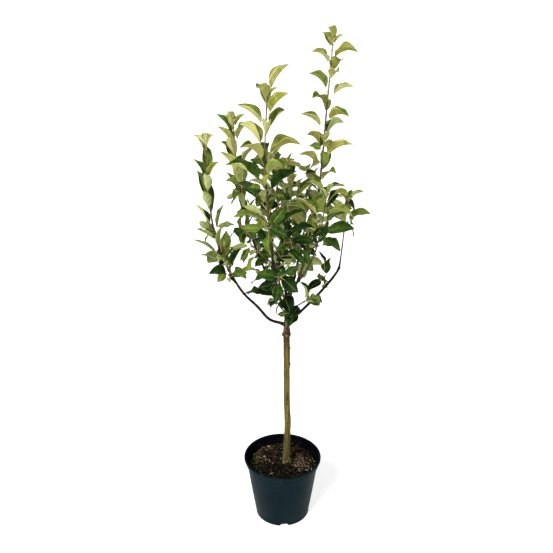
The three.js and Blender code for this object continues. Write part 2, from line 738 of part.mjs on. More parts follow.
// A spur, if there is room for it.
function growSpur(limb, rules, random, stem, share, turn) {
  const foot = limbPoint(limb, share);
  const reach = rules.spurReach * within(SPUR.reachRange, random());
  const out = awayFrom(limbAlong(limb, share), turn).multiplyScalar(SPUR.outward);
  const way = out.addScaledVector(UP, SPUR.upward).normalize();
  const points = [0, 0.5, 1].map((part) =>
    foot.clone().addScaledVector(way, reach * part).addScaledVector(UP, reach * SPUR.lift * part * part),
  );
  const checks = SPUR.checks.map((part) => foot.clone().lerp(points[2], part));
  const limbBlocks = (other) =>
    other.mass !== limb.name && anyWithin(checks, other.at, other.radius + SPUR.clearOfLimb);
  const bladeBlocks = (other) => other.samples.some((point) => anyWithin(checks, point, SPUR.clearOfBlade));
  if (taken.limbs.some(limbBlocks) || taken.blades.some(bladeBlocks)) {
    return { twigs: [], leaves: [] };
  }
  taken.limbs.push(...checks.map((at) => ({ mass: limb.name, at, radius: SPUR.girth })));

  const leaves = [];
  for (let n = 0; n < rules.spurLeaves; n++) {
    const last = n === rules.spurLeaves - 1;
    const back = last ? 0 : SPUR.rosette * (1 - n / rules.spurLeaves);
    const wish = leafWish(random, {
      foot: points[2].clone().lerp(points[1], back),
      axis: way,
      turn: turn + GOLDEN_ANGLE * n,
      blade: rules.spurBlade,
      angle: last ? SPUR.endLeafAngle : SPUR.leafAngle,
      fold: rules.spurFold,
      bend: rules.bend,
    });
    const leaf = placeLeaf(limb.name, stem, wish);
    if (leaf) {
      leaves.push(leaf);
    }
  }
  return { twigs: [points], leaves };
}

function twigSolid(points) {
  const rings = points.map((point, n) => {
    const ahead = points[Math.min(n + 1, points.length - 1)];
    const along = ahead.clone().sub(points[Math.max(n - 1, 0)]).normalize();
    return ringRound(point, along, SPUR.radii[n], TWIG_SIDES);
  });
  return solidOf(skin(rings));
}

// ---------------------------------------------------------------- assembly

const model = new THREE.Group();

function addPiece(name, solid, finish) {
  const material = new THREE.MeshStandardMaterial({ ...finish, metalness: 0 });
  const mesh = new THREE.Mesh(geometryOf(solid), material);
  mesh.name = name;
  model.add(mesh);
}

// The largest connected piece of a solid, after a cut that may leave a crumb.
const largestOf = (solid) =>
  solid.decompose().reduce((most, piece) => (piece.volume() > most.volume() ? piece : most));

addPiece("pot", makePot(), FINISHES.pot);
addPiece("potting_mix", makeMix(), FINISHES.mix);
addPiece("trunk", makeTrunk(), FINISHES.trunk);

// Bare boughs, each cut clear of the trunk and of the boughs before it.
let wood = trunkSolid(GAP);
for (const limb of LIMBS) {
  if (limb.bare > 0) {
    const bough = limbSolid(limb, 0, limb.bare, BOUGH_SIDES).subtract(wood);
    addPiece("bough_" + limb.name, largestOf(bough), FINISHES.bough);
    wood = wood.add(limbSolid(limb, 0, limb.bare, BOUGH_SIDES, GAP));
  }
  taken.limbs.push(...centreLine(limb));
}
for (let z = MIX.level; z < TRUNK.fork[2]; z += CENTRE_LINE_STEP) {
  taken.limbs.push({ mass: "trunk", at: trunkAxis(z), radius: trunkRadius(z) });
}

// Masses of leaves, each on the rest of its limb and clear of the wood and stems before it.
for (const limb of LIMBS.filter((each) => each.bare < 1)) {
  const { twigs, leaves } = growMass(limb);
  const from = limb.bare + (limb.bare ? (2 * GAP) / limbLength(limb) : 0);
  const stem = limbSolid(limb, from, 1, STEM_SIDES);
  const mass = wasm.Manifold.union([stem, ...twigs.map(twigSolid), ...leaves.map(leafSolid)]);
  addPiece("leaves_" + limb.name, largestOf(mass.subtract(wood)), FINISHES.leaves);
  wood = wood.add(limbSolid(limb, from, 1, STEM_SIDES, GAP));
}

export default model;
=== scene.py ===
import itertools
import math
from dataclasses import dataclass, replace
from types import SimpleNamespace as Named

import bmesh
import bpy
import numpy as np
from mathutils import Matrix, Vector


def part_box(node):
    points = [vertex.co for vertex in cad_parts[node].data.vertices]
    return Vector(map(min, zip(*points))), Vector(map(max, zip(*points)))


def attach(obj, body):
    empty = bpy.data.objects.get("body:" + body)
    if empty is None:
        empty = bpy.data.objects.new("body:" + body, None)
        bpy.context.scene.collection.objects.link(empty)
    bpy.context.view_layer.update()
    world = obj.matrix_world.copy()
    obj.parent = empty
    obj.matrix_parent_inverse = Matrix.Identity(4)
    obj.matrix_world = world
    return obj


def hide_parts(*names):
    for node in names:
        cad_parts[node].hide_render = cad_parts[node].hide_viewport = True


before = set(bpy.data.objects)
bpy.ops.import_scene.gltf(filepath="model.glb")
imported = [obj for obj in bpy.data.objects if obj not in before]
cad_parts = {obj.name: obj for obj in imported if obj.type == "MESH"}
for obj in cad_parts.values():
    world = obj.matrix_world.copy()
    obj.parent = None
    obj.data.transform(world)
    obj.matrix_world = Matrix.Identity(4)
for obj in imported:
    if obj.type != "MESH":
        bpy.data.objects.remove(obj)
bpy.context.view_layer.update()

MM = 0.001
GOLDEN_ANGLE = math.radians(137.5)
POT_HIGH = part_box("pot")[1]

# ---------------------------------------------------------------- driving dimensions
# These are as in the solids, but for finer edges on the pot, a slimmer foot on the trunk and the stouter
# limbs low down on the right.

POT = Named(height=POT_HIGH.z / MM, rim_radius=POT_HIGH.x / MM, rim_height=6, collar_top=117, collar_foot=114,
            collar_height=23, shoulder=3, wall_top=110, foot_radius=85, foot_round=4, wall=1.8)
NOTCH = Named(count=4, foot_width=30, top_width=21, height=9, depth=13, turn=-86)
MIX = Named(level=177, edge_drop=7, dip=1)
HEAP = Named(turn=-95, radius=98, height=29, spread=27)
TRUNK = Named(foot=(14, 0), lean=(-3, 0), bow=2.9, bow_at=320, bow_height=65, knuckle=640, bend=742,
              bend_power=1.6, fork=(43, 20, 792), radius=9.4, radius_at_knuckle=9.3, shoulder=70,
              radius_above=6.4, leader=720, radius_at_fork=4.6, flare=2.5, flare_height=105, swelling=2.2,
              swelling_height=15)
SAG = ((0.08, 0.05), (0.23, 0.09))  # the two places where a limb may sag, and over how much of it
SCARS = [(533, 10), (588, 5), (470, 130), (402, 250), (632, 190)]  # height, degrees round the trunk
LEAF = Named(petiole=0.3, half_width=0.33, length_range=(0.88, 1.1), petiole_range=(0.8, 1.25),
             bend_range=(0.6, 1.25), fold_range=(0.7, 1.25), angle_spread=9, roll_spread=22, clear=8,
             clear_of_own=5.6, clear_of_limb=6.5, clear_of_stem=2, lowest=40, tries=9, turn_per_try=0.42)
SPUR = Named(tip_radius=1.1, outward=0.8, upward=0.6, lift=0.25, reach_range=(0.6, 1.3),
             clear_of_limb=7, clear_of_blade=9, checks=(0.35, 0.6, 0.8, 1), girth=1.3, rosette=0.45,
             leaf_angle=62, end_leaf_angle=30, turn_spread=0.3, crowding=0.4)
FINE = Named(step=58, start=0.02, past=0.3, last=0.9, reach=(7, 20), outward=0.9, upward=0.5, lift=0.2,
             leaves=3, blade=(26, 42), angle=(66, 26), foot_radius=0.9, nearest=0.8, apart=0.26, ease=0.5,
             clear_of_limb=2.0, clear_of_blade=2.5, seed=90, turn=2.0)
SPUR_STEM = 1.2  # a leaf on a thinner stem than this grows on a spur
MASS_FROM = 0.02  # where the mass starts on a limb with no bough, as a share of the limb
TAPER = 0.8  # the power by which a limb thins towards its tip
NEAR = 0.01  # the share of a limb over which its direction is taken
CENTRE_LINE_STEP = 8
SLEEVE = 135  # a leaf stays this close to the stem of its own mass


@dataclass
class Limb:
    """A limb, and how the shoot on it grows. The words are those of the solids' source."""
    name: str
    reach: tuple
    rise: float
    arch: float
    sway: float
    radii: tuple
    bare: float
    sag: tuple = (0, 0)
    stout: float = 1  # how much thicker its end is than the solid's
    tone: tuple = (0, 1)  # its bark at its foot and tip, from 0 for old and dark to 1 for young and pale
    height: object = None  # of its foot on the trunk, or "fork"
    on: str = None
    at: float = 0
    seed: int = 1
    spacing: float = 17
    leaf_from: float = 0.5
    leaf_to: float = 0.995
    blade: tuple = (66, 70, 44)
    angle: tuple = (56, 24)
    bend: float = 62
    splay: float = 0  # how much further the leaves halfway up the shoot stand out, degrees
    fold: tuple = (24, 50)
    spurs: int = 0
    spur_from: float = 0.1
    spur_to: float = 0.6
    spur_reach: float = 38
    spur_blade: float = 58
    spur_leaves: int = 4
    spur_fold: float = 18


LIMBS = [
    Limb("left_low", height=663, reach=(-209, -71), rise=549, arch=3.3, sway=2, sag=(16, 8.5),
         radii=(4.6, 1.4), bare=0.3, seed=780, leaf_from=0.34, spacing=18, blade=(68, 68, 42),
         angle=(27, 22), bend=12, fold=(26, 50), spurs=1, spur_from=0.32, spur_to=0.42, spur_reach=26),
    Limb("left_fork", on="left_low", at=0.29, reach=(-30, -38), rise=79, arch=1.1, sway=-8,
         radii=(2.2, 1.3), bare=0, seed=558, leaf_from=0.29, spacing=12, blade=(52, 64, 52),
         angle=(49, 26), bend=30),
    Limb("left_mid", height=712, reach=(-147, 86), rise=515, arch=2.2, sway=4, radii=(4, 1.4), bare=0.2,
         seed=444, leaf_from=0.45, spacing=19, blade=(68, 79, 46), angle=(14, 24), bend=28, spurs=6,
         spur_from=0.22, spur_to=0.46, spur_reach=44),
    Limb("front_tall", height=719, reach=(-51, -87), rise=616, arch=7.2, sway=9, radii=(4.2, 1.5),
         bare=0.09, seed=466, leaf_from=0.36, spacing=21, blade=(86, 86, 68), angle=(51, 29), bend=40,
         spurs=8, spur_from=0.12, spur_to=0.44, spur_reach=50),
    Limb("right_tall", height="fork", tone=(0.45, 1), reach=(84, 42), rise=653, arch=1.9, sway=-10,
         radii=(4.2, 1.4), bare=0.1, seed=67, leaf_from=0.27, spacing=21, blade=(81, 63, 56),
         angle=(32, 32), splay=12, bend=54, spurs=5, spur_from=0.12, spur_to=0.4, spur_reach=46),
    Limb("right_low", height=665, reach=(149, 20), rise=170, arch=1.23, sway=0.2, radii=(4.2, 2.5), bare=1,
         stout=1.4, tone=(0.15, 0.3)),
    Limb("right_outer", on="right_low", at=1, stout=1.2, tone=(0.15, 0.8), reach=(16, -11), rise=201,
         arch=1.1, sway=1, radii=(2.2, 1.3), bare=0.6, seed=436, leaf_from=0.62, spacing=12,
         blade=(71, 59, 42), angle=(43, 30), bend=63),
    Limb("front_right", height="fork", tone=(0.45, 1), reach=(68, -98), rise=284, arch=1.9, sway=4,
         radii=(3, 1.3), bare=0.42, seed=153, leaf_from=0.52, spacing=14, blade=(75, 85, 50),
         angle=(47, 36), bend=68, spurs=3, spur_from=0.45, spur_to=0.7, spur_reach=40),
    Limb("right_twig", height=714, stout=1.2, tone=(0.15, 0.6), reach=(53, -58), rise=54, arch=1.2,
         sway=8, radii=(1.9, 1.3), bare=0.7, seed=669, leaf_from=0.74, spacing=9, blade=(52, 54, 46),
         angle=(66, 17), bend=72),
    Limb("right_spur", on="right_low", at=0.74, reach=(-14, -28), rise=20, arch=1, sway=0,
         radii=(1.6, 1.3), bare=0, seed=414, leaf_from=0.71, spacing=8, blade=(54, 54, 44), angle=(70, 47),
         bend=72),
    Limb("heart_front", height=722, reach=(-12, -33), rise=53, arch=1.1, sway=0, radii=(2.4, 1.6), bare=0,
         seed=452, leaf_from=0.5, spacing=7, blade=(74, 76, 64), angle=(70, 57), bend=67, fold=(14, 14)),
    Limb("heart_left", height=700, reach=(-49, -9), rise=74, arch=1.2, sway=9, radii=(2.4, 1.5), bare=0,
         seed=796, leaf_from=0.63, spacing=9, blade=(66, 68, 54), angle=(62, 44), bend=68, fold=(14, 14)),
    Limb("heart_right", height=682, reach=(15, -7), rise=22, arch=1, sway=0, radii=(1.8, 1.4), bare=0,
         seed=340, leaf_from=0.78, spacing=7, blade=(54, 64, 56), angle=(110, 70), bend=56, fold=(12, 12)),
    Limb("back_right", height=746, reach=(1, 122), rise=334, arch=2.9, sway=12, radii=(3.8, 1.4),
         bare=0.14, seed=703, leaf_from=0.49, spacing=19, blade=(77, 86, 54), angle=(48, 25), bend=30,
         spurs=6, spur_from=0.18, spur_to=0.5, spur_reach=44),
    Limb("back_left", height=726, reach=(-37, 178), rise=386, arch=4.5, sway=11, radii=(3.8, 1.4),
         bare=0.16, seed=823, leaf_from=0.43, spacing=18, blade=(85, 86, 51), angle=(34, 39), bend=47,
         spurs=5, spur_from=0.2, spur_to=0.5, spur_reach=42),
    Limb("back_low", height=690, reach=(55, 215), rise=289, arch=2.3, sway=4, radii=(4, 1.4), bare=0.26,
         seed=167, leaf_from=0.43, spacing=15, blade=(74, 86, 42), angle=(34, 35), bend=53, spurs=4,
         spur_from=0.3, spur_to=0.5, spur_reach=36),
]

# ---------------------------------------------------------------- small helpers

def vec(*numbers):
    return np.array(numbers, float)


def unit(v):
    return v / np.linalg.norm(v, axis=-1, keepdims=True)


def mix(a, b, share):
    return a + (b - a) * share


def spread(most, share):
    return mix(-most, most, share)


def smooth(x, low, high):
    t = np.clip((x - low) / (high - low), 0, 1)
    return t * t * (3 - 2 * t)


def bell(x, width):
    return np.exp(-((x / width) ** 2))


UP = vec(0, 0, 1)
FULL_TURN = 2 * math.pi


def apart(angle, other):
    """How far directions round a circle are from another one, from -pi to pi."""
    return (angle - other + math.pi) % FULL_TURN - math.pi


def polar(far, turn):
    return far * math.cos(turn), far * math.sin(turn)


def turns_round(count):
    """Directions round a circle at even steps."""
    return np.arange(count) / count * FULL_TURN


def rolled(side, face, cosine, sine):
    """Two directions square to each other, after a roll by the angle with this cosine and sine."""
    return side * cosine + face * sine, face * cosine - side * sine


class Seeded:
    """The same random numbers each run, from 0 to 1, as in the solids' source."""

    def __init__(self, seed):
        self.state = (seed * 2654435761) & 0xFFFFFFFF
        self()
        self()

    def __call__(self):
        self.state = (self.state * 1664525 + 1013904223) & 0xFFFFFFFF
        return self.state / 4294967296


def square_to(along):
    """Two directions square to `along`, the first as close to +Y as can be. It takes one or many."""
    across = unit(vec(0, 1, 0) - along * along[..., 1:2])
    return across, np.cross(along, across)


def away_from(along, turn):
    a, b = square_to(along)
    return a * math.cos(turn) + b * math.sin(turn)


def lattice_noise(points, size, seed):
    """Smooth noise from -1 to 1 at many points, with features about `size` wide."""
    places = points / np.asarray(size, float) + seed * 31.7
    cells = np.floor(places).astype(np.int64)
    part = places - cells
    part = part * part * (3 - 2 * part)
    total = np.zeros(points.shape[:-1])
    for corner in itertools.product((0, 1), repeat=3):
        x, y, z = np.moveaxis(cells + corner, -1, 0)
        number = (x * 73856093 ^ y * 19349663 ^ z * 83492791 ^ seed * 2654435761) & 0xFFFFFFFF
        number = (number ^ (number >> 15)) * 2246822519 & 0xFFFFFFFF
        number = (number ^ (number >> 13)) * 3266489917 & 0xFFFFFFFF
        weight = np.prod(np.where(corner, part, 1 - part), axis=-1)
        total += weight * (number / 2147483648 - 1)
    return total

# ---------------------------------------------------------------- trunk and limbs

def trunk_axis(z):
    """Points on the trunk's axis at heights."""
    z = np.asarray(z, float)
    rise = (np.minimum(z, TRUNK.bend) - MIX.level) / (TRUNK.knuckle - MIX.level)
    fork = TRUNK.fork
    over = np.maximum(0, (z - TRUNK.bend) / (fork[2] - TRUNK.bend)) ** TRUNK.bend_power
    bow = TRUNK.bow * bell(z - TRUNK.bow_at, TRUNK.bow_height)
    x = TRUNK.foot[0] + TRUNK.lean[0] * rise + bow
    y = TRUNK.foot[1] + TRUNK.lean[1] * rise
    return np.stack([mix(x, fork[0], over), mix(y, fork[1], over), z], axis=-1)


def trunk_radius(z):
    share = (z - MIX.level) / (TRUNK.knuckle - MIX.level)
    lower = mix(TRUNK.radius, TRUNK.radius_at_knuckle, share)
    tapered = np.maximum(0, (z - TRUNK.leader) / (TRUNK.fork[2] - TRUNK.leader))
    upper = mix(TRUNK.radius_above, TRUNK.radius_at_fork, tapered)
    narrowed = smooth(z, TRUNK.knuckle, TRUNK.knuckle + TRUNK.shoulder)
    flare = TRUNK.flare * bell(z - MIX.level, TRUNK.flare_height)
    swelling = TRUNK.swelling * bell(z - TRUNK.knuckle, TRUNK.swelling_height)
    return mix(lower, upper, narrowed) + flare + swelling


def limb_named(name):
    return next(limb for limb in LIMBS if limb.name == name)


def limb_foot(limb):
    if limb.on:
        return limb_points(limb_named(limb.on), limb.at)
    return trunk_axis(TRUNK.fork[2] if limb.height == "fork" else limb.height)


def limb_points(limb, share):
    """Points on a limb's centre line, from share 0 at its foot to 1 at its tip."""
    share = np.asarray(share, float)
    x, y = limb.reach
    out = 1 - (1 - share) ** limb.arch
    side = limb.sway * np.sin(2 * math.pi * share) / math.hypot(x, y)
    sag = sum(depth * bell(share - at, width) for depth, (at, width) in zip(limb.sag, SAG))
    offset = [x * out - y * side, y * out + x * side, limb.rise * share - sag]
    return limb_foot(limb) + np.stack(offset, axis=-1)


def limb_along(limb, share):
    ahead, behind = np.minimum(1, share + NEAR), np.maximum(0, share - NEAR)
    return unit(limb_points(limb, ahead) - limb_points(limb, behind))


def limb_radius(limb, share):
    return mix(*limb.radii, np.asarray(share, float) ** TAPER)


def limb_length(limb):
    points = limb_points(limb, np.linspace(0, 1, 21))
    return float(np.linalg.norm(np.diff(points, axis=0), axis=1).sum())

# ---------------------------------------------------------------- one leaf

@dataclass
class Leaf:
    foot: np.ndarray
    axis: np.ndarray
    turn: float
    length: float
    stalk: float
    angle: float
    bend: float
    fold: float
    roll: float
    out: np.ndarray = None
    mass: str = ""
    stem_radius: float = 1.3  # of the stem that it grows on


def outline(share):
    """Half the blade's width at a share of its length: round below the middle, with a drawn-out tip."""
    return np.sin(math.pi * np.minimum(share, 1) ** 0.82) ** 0.8


def leaf_frame(leaf, share):
    """Along, side and face directions at shares of the blade's length."""
    turned = leaf.angle + leaf.bend * np.maximum(0, np.asarray(share, float))[..., None]
    along = leaf.axis * np.cos(turned) + leaf.out * np.sin(turned)
    face = leaf.axis * np.sin(turned) - leaf.out * np.cos(turned)
    return along, *rolled(np.cross(face, along), face, math.cos(leaf.roll), math.sin(leaf.roll))


def midrib(leaf, share):
    """Points on the midrib: an arc that starts at the end of the stalk."""
    start, end = leaf.angle, leaf.angle + leaf.bend * np.asarray(share, float)[..., None]
    radius = leaf.length / leaf.bend
    foot = leaf.foot + leaf_frame(leaf, 0)[0] * leaf.stalk
    rise = leaf.axis * (np.sin(end) - math.sin(start)) * radius
    return foot + rise + leaf.out * (math.cos(start) - np.cos(end)) * radius


def blade_points(leaf, share, across):
    _, side, face = leaf_frame(leaf, share)
    half = (leaf.length * LEAF.half_width * outline(share) * across)[..., None]
    return midrib(leaf, share) + side * half * math.cos(leaf.fold) + face * np.abs(half) * math.sin(leaf.fold)


# Where a leaf is tested against the others: rows along the blade, and places across each row.
BLADE_ROWS = (0, 1 / 6, 1 / 3, 0.5, 2 / 3, 5 / 6, 1)
BLADE_PLACES = (-1, -0.5, 0, 0.5, 1)
BLADE_GRID = np.array([(row, place) for row in BLADE_ROWS
                       for place in (BLADE_PLACES if 0 < row < 1 else (0,))])
BLADE_FIRST = 2  # the first sample that lies on the open blade

# ---------------------------------------------------------------- growth, by the solids' rule

class Crown:
    """What has grown so far, which later leaves keep clear of."""

    def __init__(self):
        self.blades = []
        self.kept = []
        for limb in LIMBS:
            self.keep_clear_of(*centre_line(limb), limb.name)
        heights = np.arange(MIX.level, TRUNK.fork[2], CENTRE_LINE_STEP)
        self.keep_clear_of(trunk_axis(heights), trunk_radius(heights), "trunk")

    def keep_clear_of(self, points, radii, mass):
        self.kept.append((np.asarray(points), np.broadcast_to(radii, len(points)), [mass] * len(points)))
        self.at, self.radius, self.mass = (np.concatenate(part) for part in zip(*self.kept))

    def fits(self, leaf, stem, ease=1.0):
        """True if a leaf stays in its own mass's space and clear of every limb and blade so far."""
        stalk = leaf.foot + leaf_frame(leaf, 0)[0] * leaf.stalk * 0.6
        samples = np.vstack([stalk, blade_points(leaf, BLADE_GRID[:, 0], BLADE_GRID[:, 1])])
        if samples[:, 2].min() < MIX.level + LEAF.lowest:
            return False
        if np.linalg.norm(samples[:, None] - stem, axis=2).min(axis=1).max() >= SLEEVE:
            return False
        gap = np.linalg.norm(samples[:, None] - self.at, axis=2)
        own = self.mass == leaf.mass
        if (gap[:, ~own] < self.radius[~own] + LEAF.clear_of_limb * ease).any():
            return False
        if (gap[BLADE_FIRST:, own] < self.radius[own] + LEAF.clear_of_stem * ease).any():
            return False
        centre = midrib(leaf, 0.5)
        near = leaf.length / 2
        for mass, others, other_centre, other_near in self.blades:
            if np.linalg.norm(other_centre - centre) > near + other_near + LEAF.clear:
                continue
            first = BLADE_FIRST if mass == leaf.mass else 0
            clear = (LEAF.clear_of_own if mass == leaf.mass else LEAF.clear) * ease
            if (((samples[first:, None] - others[None, first:]) ** 2).sum(axis=2) < clear**2).any():
                return False
        self.blades.append((leaf.mass, samples, centre, near))
        return True

    def place(self, wish, stem, ease=1.0):
        """One leaf, turned aside where its place is taken, or None where nothing fits."""
        for attempt in range(LEAF.tries):
            aside = math.ceil(attempt / 2) * LEAF.turn_per_try * (1 if attempt % 2 else -1)
            leaf = replace(wish, out=away_from(wish.axis, wish.turn + aside))
            if self.fits(leaf, stem, ease):
                return leaf
        return None

    def room_for_twig(self, checks, mass, kind):
        others = self.mass != mass
        gap = np.linalg.norm(self.at[others][:, None] - checks, axis=2)
        if (gap < self.radius[others][:, None] + kind.clear_of_limb).any():
            return False
        return all(np.linalg.norm(samples[:, None] - checks, axis=2).min() >= kind.clear_of_blade
                   for _, samples, _, _ in self.blades)


def centre_line(limb, start=0.0):
    steps = math.ceil((1 - start) * limb_length(limb) / CENTRE_LINE_STEP)
    shares = mix(start, 1, np.arange(steps + 1) / steps)
    return limb_points(limb, shares), limb_radius(limb, shares)


def leaf_wish(random, limb, foot, axis, turn, blade, angle, fold, stem_radius):
    """A leaf as the rule would have it, with its small differences from the next one."""
    return Leaf(
        foot=foot, axis=axis, turn=turn, mass=limb.name, stem_radius=stem_radius,
        length=blade * mix(*LEAF.length_range, random()),
        stalk=blade * LEAF.petiole * mix(*LEAF.petiole_range, random()),
        angle=math.radians(angle + spread(LEAF.angle_spread, random())),
        bend=math.radians(limb.bend * mix(*LEAF.bend_range, random())),
        fold=math.radians(fold * mix(*LEAF.fold_range, random())),
        roll=math.radians(spread(LEAF.roll_spread, random())),
    )


def grow_mass(crown, limb):
    """The spurs and leaves of one limb, in order from its foot to its tip."""
    random = Seeded(limb.seed)
    stem = centre_line(limb, max(limb.bare, MASS_FROM))[0]
    twigs, leaves = [], []
    for n in range(limb.spurs):
        step = (n + SPUR.crowding * random()) / max(1, limb.spurs - 1)
        share = mix(limb.spur_from, limb.spur_to, step)
        turn = GOLDEN_ANGLE * n + limb.seed + spread(SPUR.turn_spread, random())
        grow_spur(crown, limb, random, stem, share, turn, twigs, leaves)

    count = max(1, math.floor((1 - limb.leaf_from) * limb_length(limb) / limb.spacing + 0.5))
    low, middle, tip = limb.blade
    for n in range(count + 1):
        part = n / count
        share = mix(limb.leaf_from, limb.leaf_to, part)
        blade = mix(low, middle, part * 2) if part < 0.5 else mix(middle, tip, (part - 0.5) * 2)
        angle = mix(*limb.angle, part) + limb.splay * math.sin(math.pi * part)
        wish = leaf_wish(random, limb, limb_points(limb, share), limb_along(limb, share),
                         GOLDEN_ANGLE * n + limb.seed, blade, angle, mix(*limb.fold, min(1, part * 2)),
                         float(limb_radius(limb, share)))
        leaves.append(crown.place(wish, stem))
    return twigs, [leaf for leaf in leaves if leaf]


def grow_fine(crown, limb):
    """Short spurs with small leaves on the older wood between the larger ones, grown by the same rule."""
    random = Seeded(limb.seed + FINE.seed)
    stem = centre_line(limb, max(limb.bare, MASS_FROM))[0]
    start = max(limb.bare, 2 * MASS_FROM) + FINE.start
    end = min(FINE.last, limb.leaf_from + FINE.past)
    count = max(1, round((end - start) * limb_length(limb) / FINE.step))
    twigs, leaves = [], []
    for n in range(count):
        share = mix(start, end, (n + random()) / count)
        foot, along = limb_points(limb, share), limb_along(limb, share)
        turn = GOLDEN_ANGLE * n + limb.seed + FINE.turn
        way = unit(away_from(along, turn) * FINE.outward + UP * FINE.upward)
        reach = mix(*FINE.reach, random())
        points = np.array([foot, foot + way * reach * 0.5, foot + way * reach + UP * reach * FINE.lift])
        if not crown.room_for_twig(points[1:], limb.name, FINE):
            continue
        grown_here = []
        for m in range(FINE.leaves):
            at = mix(points[2], points[1], FINE.nearest - m * FINE.apart)
            angle = mix(*FINE.angle, m / FINE.leaves)
            wish = leaf_wish(random, limb, at, way, turn + GOLDEN_ANGLE * m, mix(*FINE.blade, random()),
                             angle, limb.spur_fold, FINE.foot_radius)
            grown_here.append(crown.place(wish, stem, FINE.ease))
        if any(grown_here):
            twigs.append(points)
            leaves += [leaf for leaf in grown_here if leaf]
    return twigs, leaves


def grow_spur(crown, limb, random, stem, share, turn, twigs, leaves):
    """A short side twig, rising as it goes out, with a rosette of broad leaves, if there is room for it."""
    foot = limb_points(limb, share)
    reach = limb.spur_reach * mix(*SPUR.reach_range, random())
    way = unit(away_from(limb_along(limb, share), turn) * SPUR.outward + UP * SPUR.upward)
    points = [foot + way * reach * part + UP * reach * SPUR.lift * part**2 for part in (0, 0.5, 1)]
    checks = np.array([mix(foot, points[2], part) for part in SPUR.checks])
    if not crown.room_for_twig(checks, limb.name, SPUR):
        return
    crown.keep_clear_of(checks, SPUR.girth, limb.name)
    twigs.append(np.array(points))
    for n in range(limb.spur_leaves):
        last = n == limb.spur_leaves - 1
        back = 0 if last else SPUR.rosette * (1 - n / limb.spur_leaves)
        angle = SPUR.end_leaf_angle if last else SPUR.leaf_angle
        wish = leaf_wish(random, limb, mix(points[2], points[1], back), way, turn + GOLDEN_ANGLE * n,
                         limb.spur_blade, angle, limb.spur_fold, SPUR.tip_radius)
        leaves.append(crown.place(wish, stem))

# ---------------------------------------------------------------- meshes

class Pile:
    """Points and faces gathered from many small parts, which become one mesh."""

    def __init__(self):
        self.points, self.marks, self.faces, self.finishes = [], [], {3: [], 4: []}, {3: [], 4: []}
        self.count = 0

    def add(self, points, faces, finish=0, mark=0.0):
        """Points, then faces of three or four corners each, and the finish of each face."""
        points = np.asarray(points, float).reshape(-1, 3)
        for corners in faces if isinstance(faces, list) else [faces]:
            corners = np.asarray(corners)
            size = corners.shape[-1]
            corners = corners.reshape(-1, size)
            self.faces[size].append(corners + self.count)
            self.finishes[size].append(np.broadcast_to(finish, len(corners)))
            finish = finish if np.ndim(finish) == 0 else finish[-1]
        self.points.append(points)
        self.marks.append(np.broadcast_to(mark, len(points)))
        self.count += len(points)

    def make(self, name, materials, replaces=(), slot=None):
        points = np.concatenate(self.points) * MM
        corners, finishes, sizes = [], [], []
        for size in (3, 4):
            if self.faces[size]:
                stacked = np.concatenate(self.faces[size])
                corners.append(stacked.ravel())
                finishes.append(np.concatenate(self.finishes[size]))
                sizes.append(np.full(len(stacked), size))
        corners, finishes, sizes = (np.concatenate(part) for part in (corners, finishes, sizes))
        mesh = bpy.data.meshes.new(name)
        mesh.vertices.add(len(points))
        mesh.vertices.foreach_set("co", points.ravel())
        mesh.loops.add(len(corners))
        mesh.loops.foreach_set("vertex_index", corners.astype(np.int32))
        mesh.polygons.add(len(sizes))
        starts = np.concatenate([[0], np.cumsum(sizes)[:-1]])
        mesh.polygons.foreach_set("loop_start", starts.astype(np.int32))
        mesh.polygons.foreach_set("material_index", finishes.astype(np.int32))
        mesh.polygons.foreach_set("use_smooth", np.ones(len(sizes), bool))
        mesh.update(calc_edges=True)
        mesh.validate()
        mark = mesh.attributes.new("mark", "FLOAT", "POINT")
        mark.data.foreach_set("value", np.concatenate(self.marks).astype(np.float32))
        for material in materials:
            mesh.materials.append(material)
        piece = bpy.data.objects.new(name, mesh)
        bpy.context.scene.collection.objects.link(piece)
        if slot:
            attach(piece, "root")
        if replaces:
            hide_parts(*replaces)
        return piece


def sharpen(mesh, limit):
    """Edges between faces that turn by more than the limit stay sharp."""
    work = bmesh.new()
    work.from_mesh(mesh)
    for edge in work.edges:
        edge.smooth = len(edge.link_faces) == 2 and edge.calc_face_angle(0) < limit
    work.to_mesh(mesh)
    work.free()


def grid_faces(rows, columns):
    """Quads between closed rings of points."""
    row, column = np.meshgrid(np.arange(rows - 1), np.arange(columns), indexing="ij")
    here = row * columns + column
    beside = row * columns + (column + 1) % columns
    return np.stack([here, beside, beside + columns, here + columns], axis=-1).reshape(-1, 4)


def fan(centre, ring, outward=True):
    """Triangles from one point to a closed ring of points."""
    ring = np.asarray(ring)
    after = np.roll(ring, -1)
    order = (ring, after) if outward else (after, ring)
    return np.stack([np.full(len(ring), centre), *order], axis=-1)


def ring_frames(points):
    """Two directions square to a line at each of its points, with no twist between them."""
    along = unit(np.gradient(points, axis=0))
    across = np.empty_like(points)
    across[0] = square_to(along[0])[0]
    for n in range(1, len(points)):
        across[n] = unit(across[n - 1] - along[n] * across[n - 1].dot(along[n]))
    return along, across, np.cross(along, across)


def ways_round(a, b, turn):
    """Directions round a line at each of its points, from two that are square to it."""
    return a[:, None] * np.cos(turn)[:, None] + b[:, None] * np.sin(turn)[:, None]


def skin(pile, rings, ends, finish=0, mark=0.0, outward=True):
    """A closed skin over rings of points, from an end point before the first to one after the last."""
    rows, sides = rings.shape[:2]
    count = rows * sides
    sheet = grid_faces(rows, sides)
    fans = np.vstack([fan(count, np.arange(sides), not outward),
                      fan(count + 1, np.arange(count - sides, count), outward)])
    pile.add(np.vstack([rings.reshape(-1, 3), ends]), [sheet if outward else sheet[:, ::-1], fans],
             finish, mark)


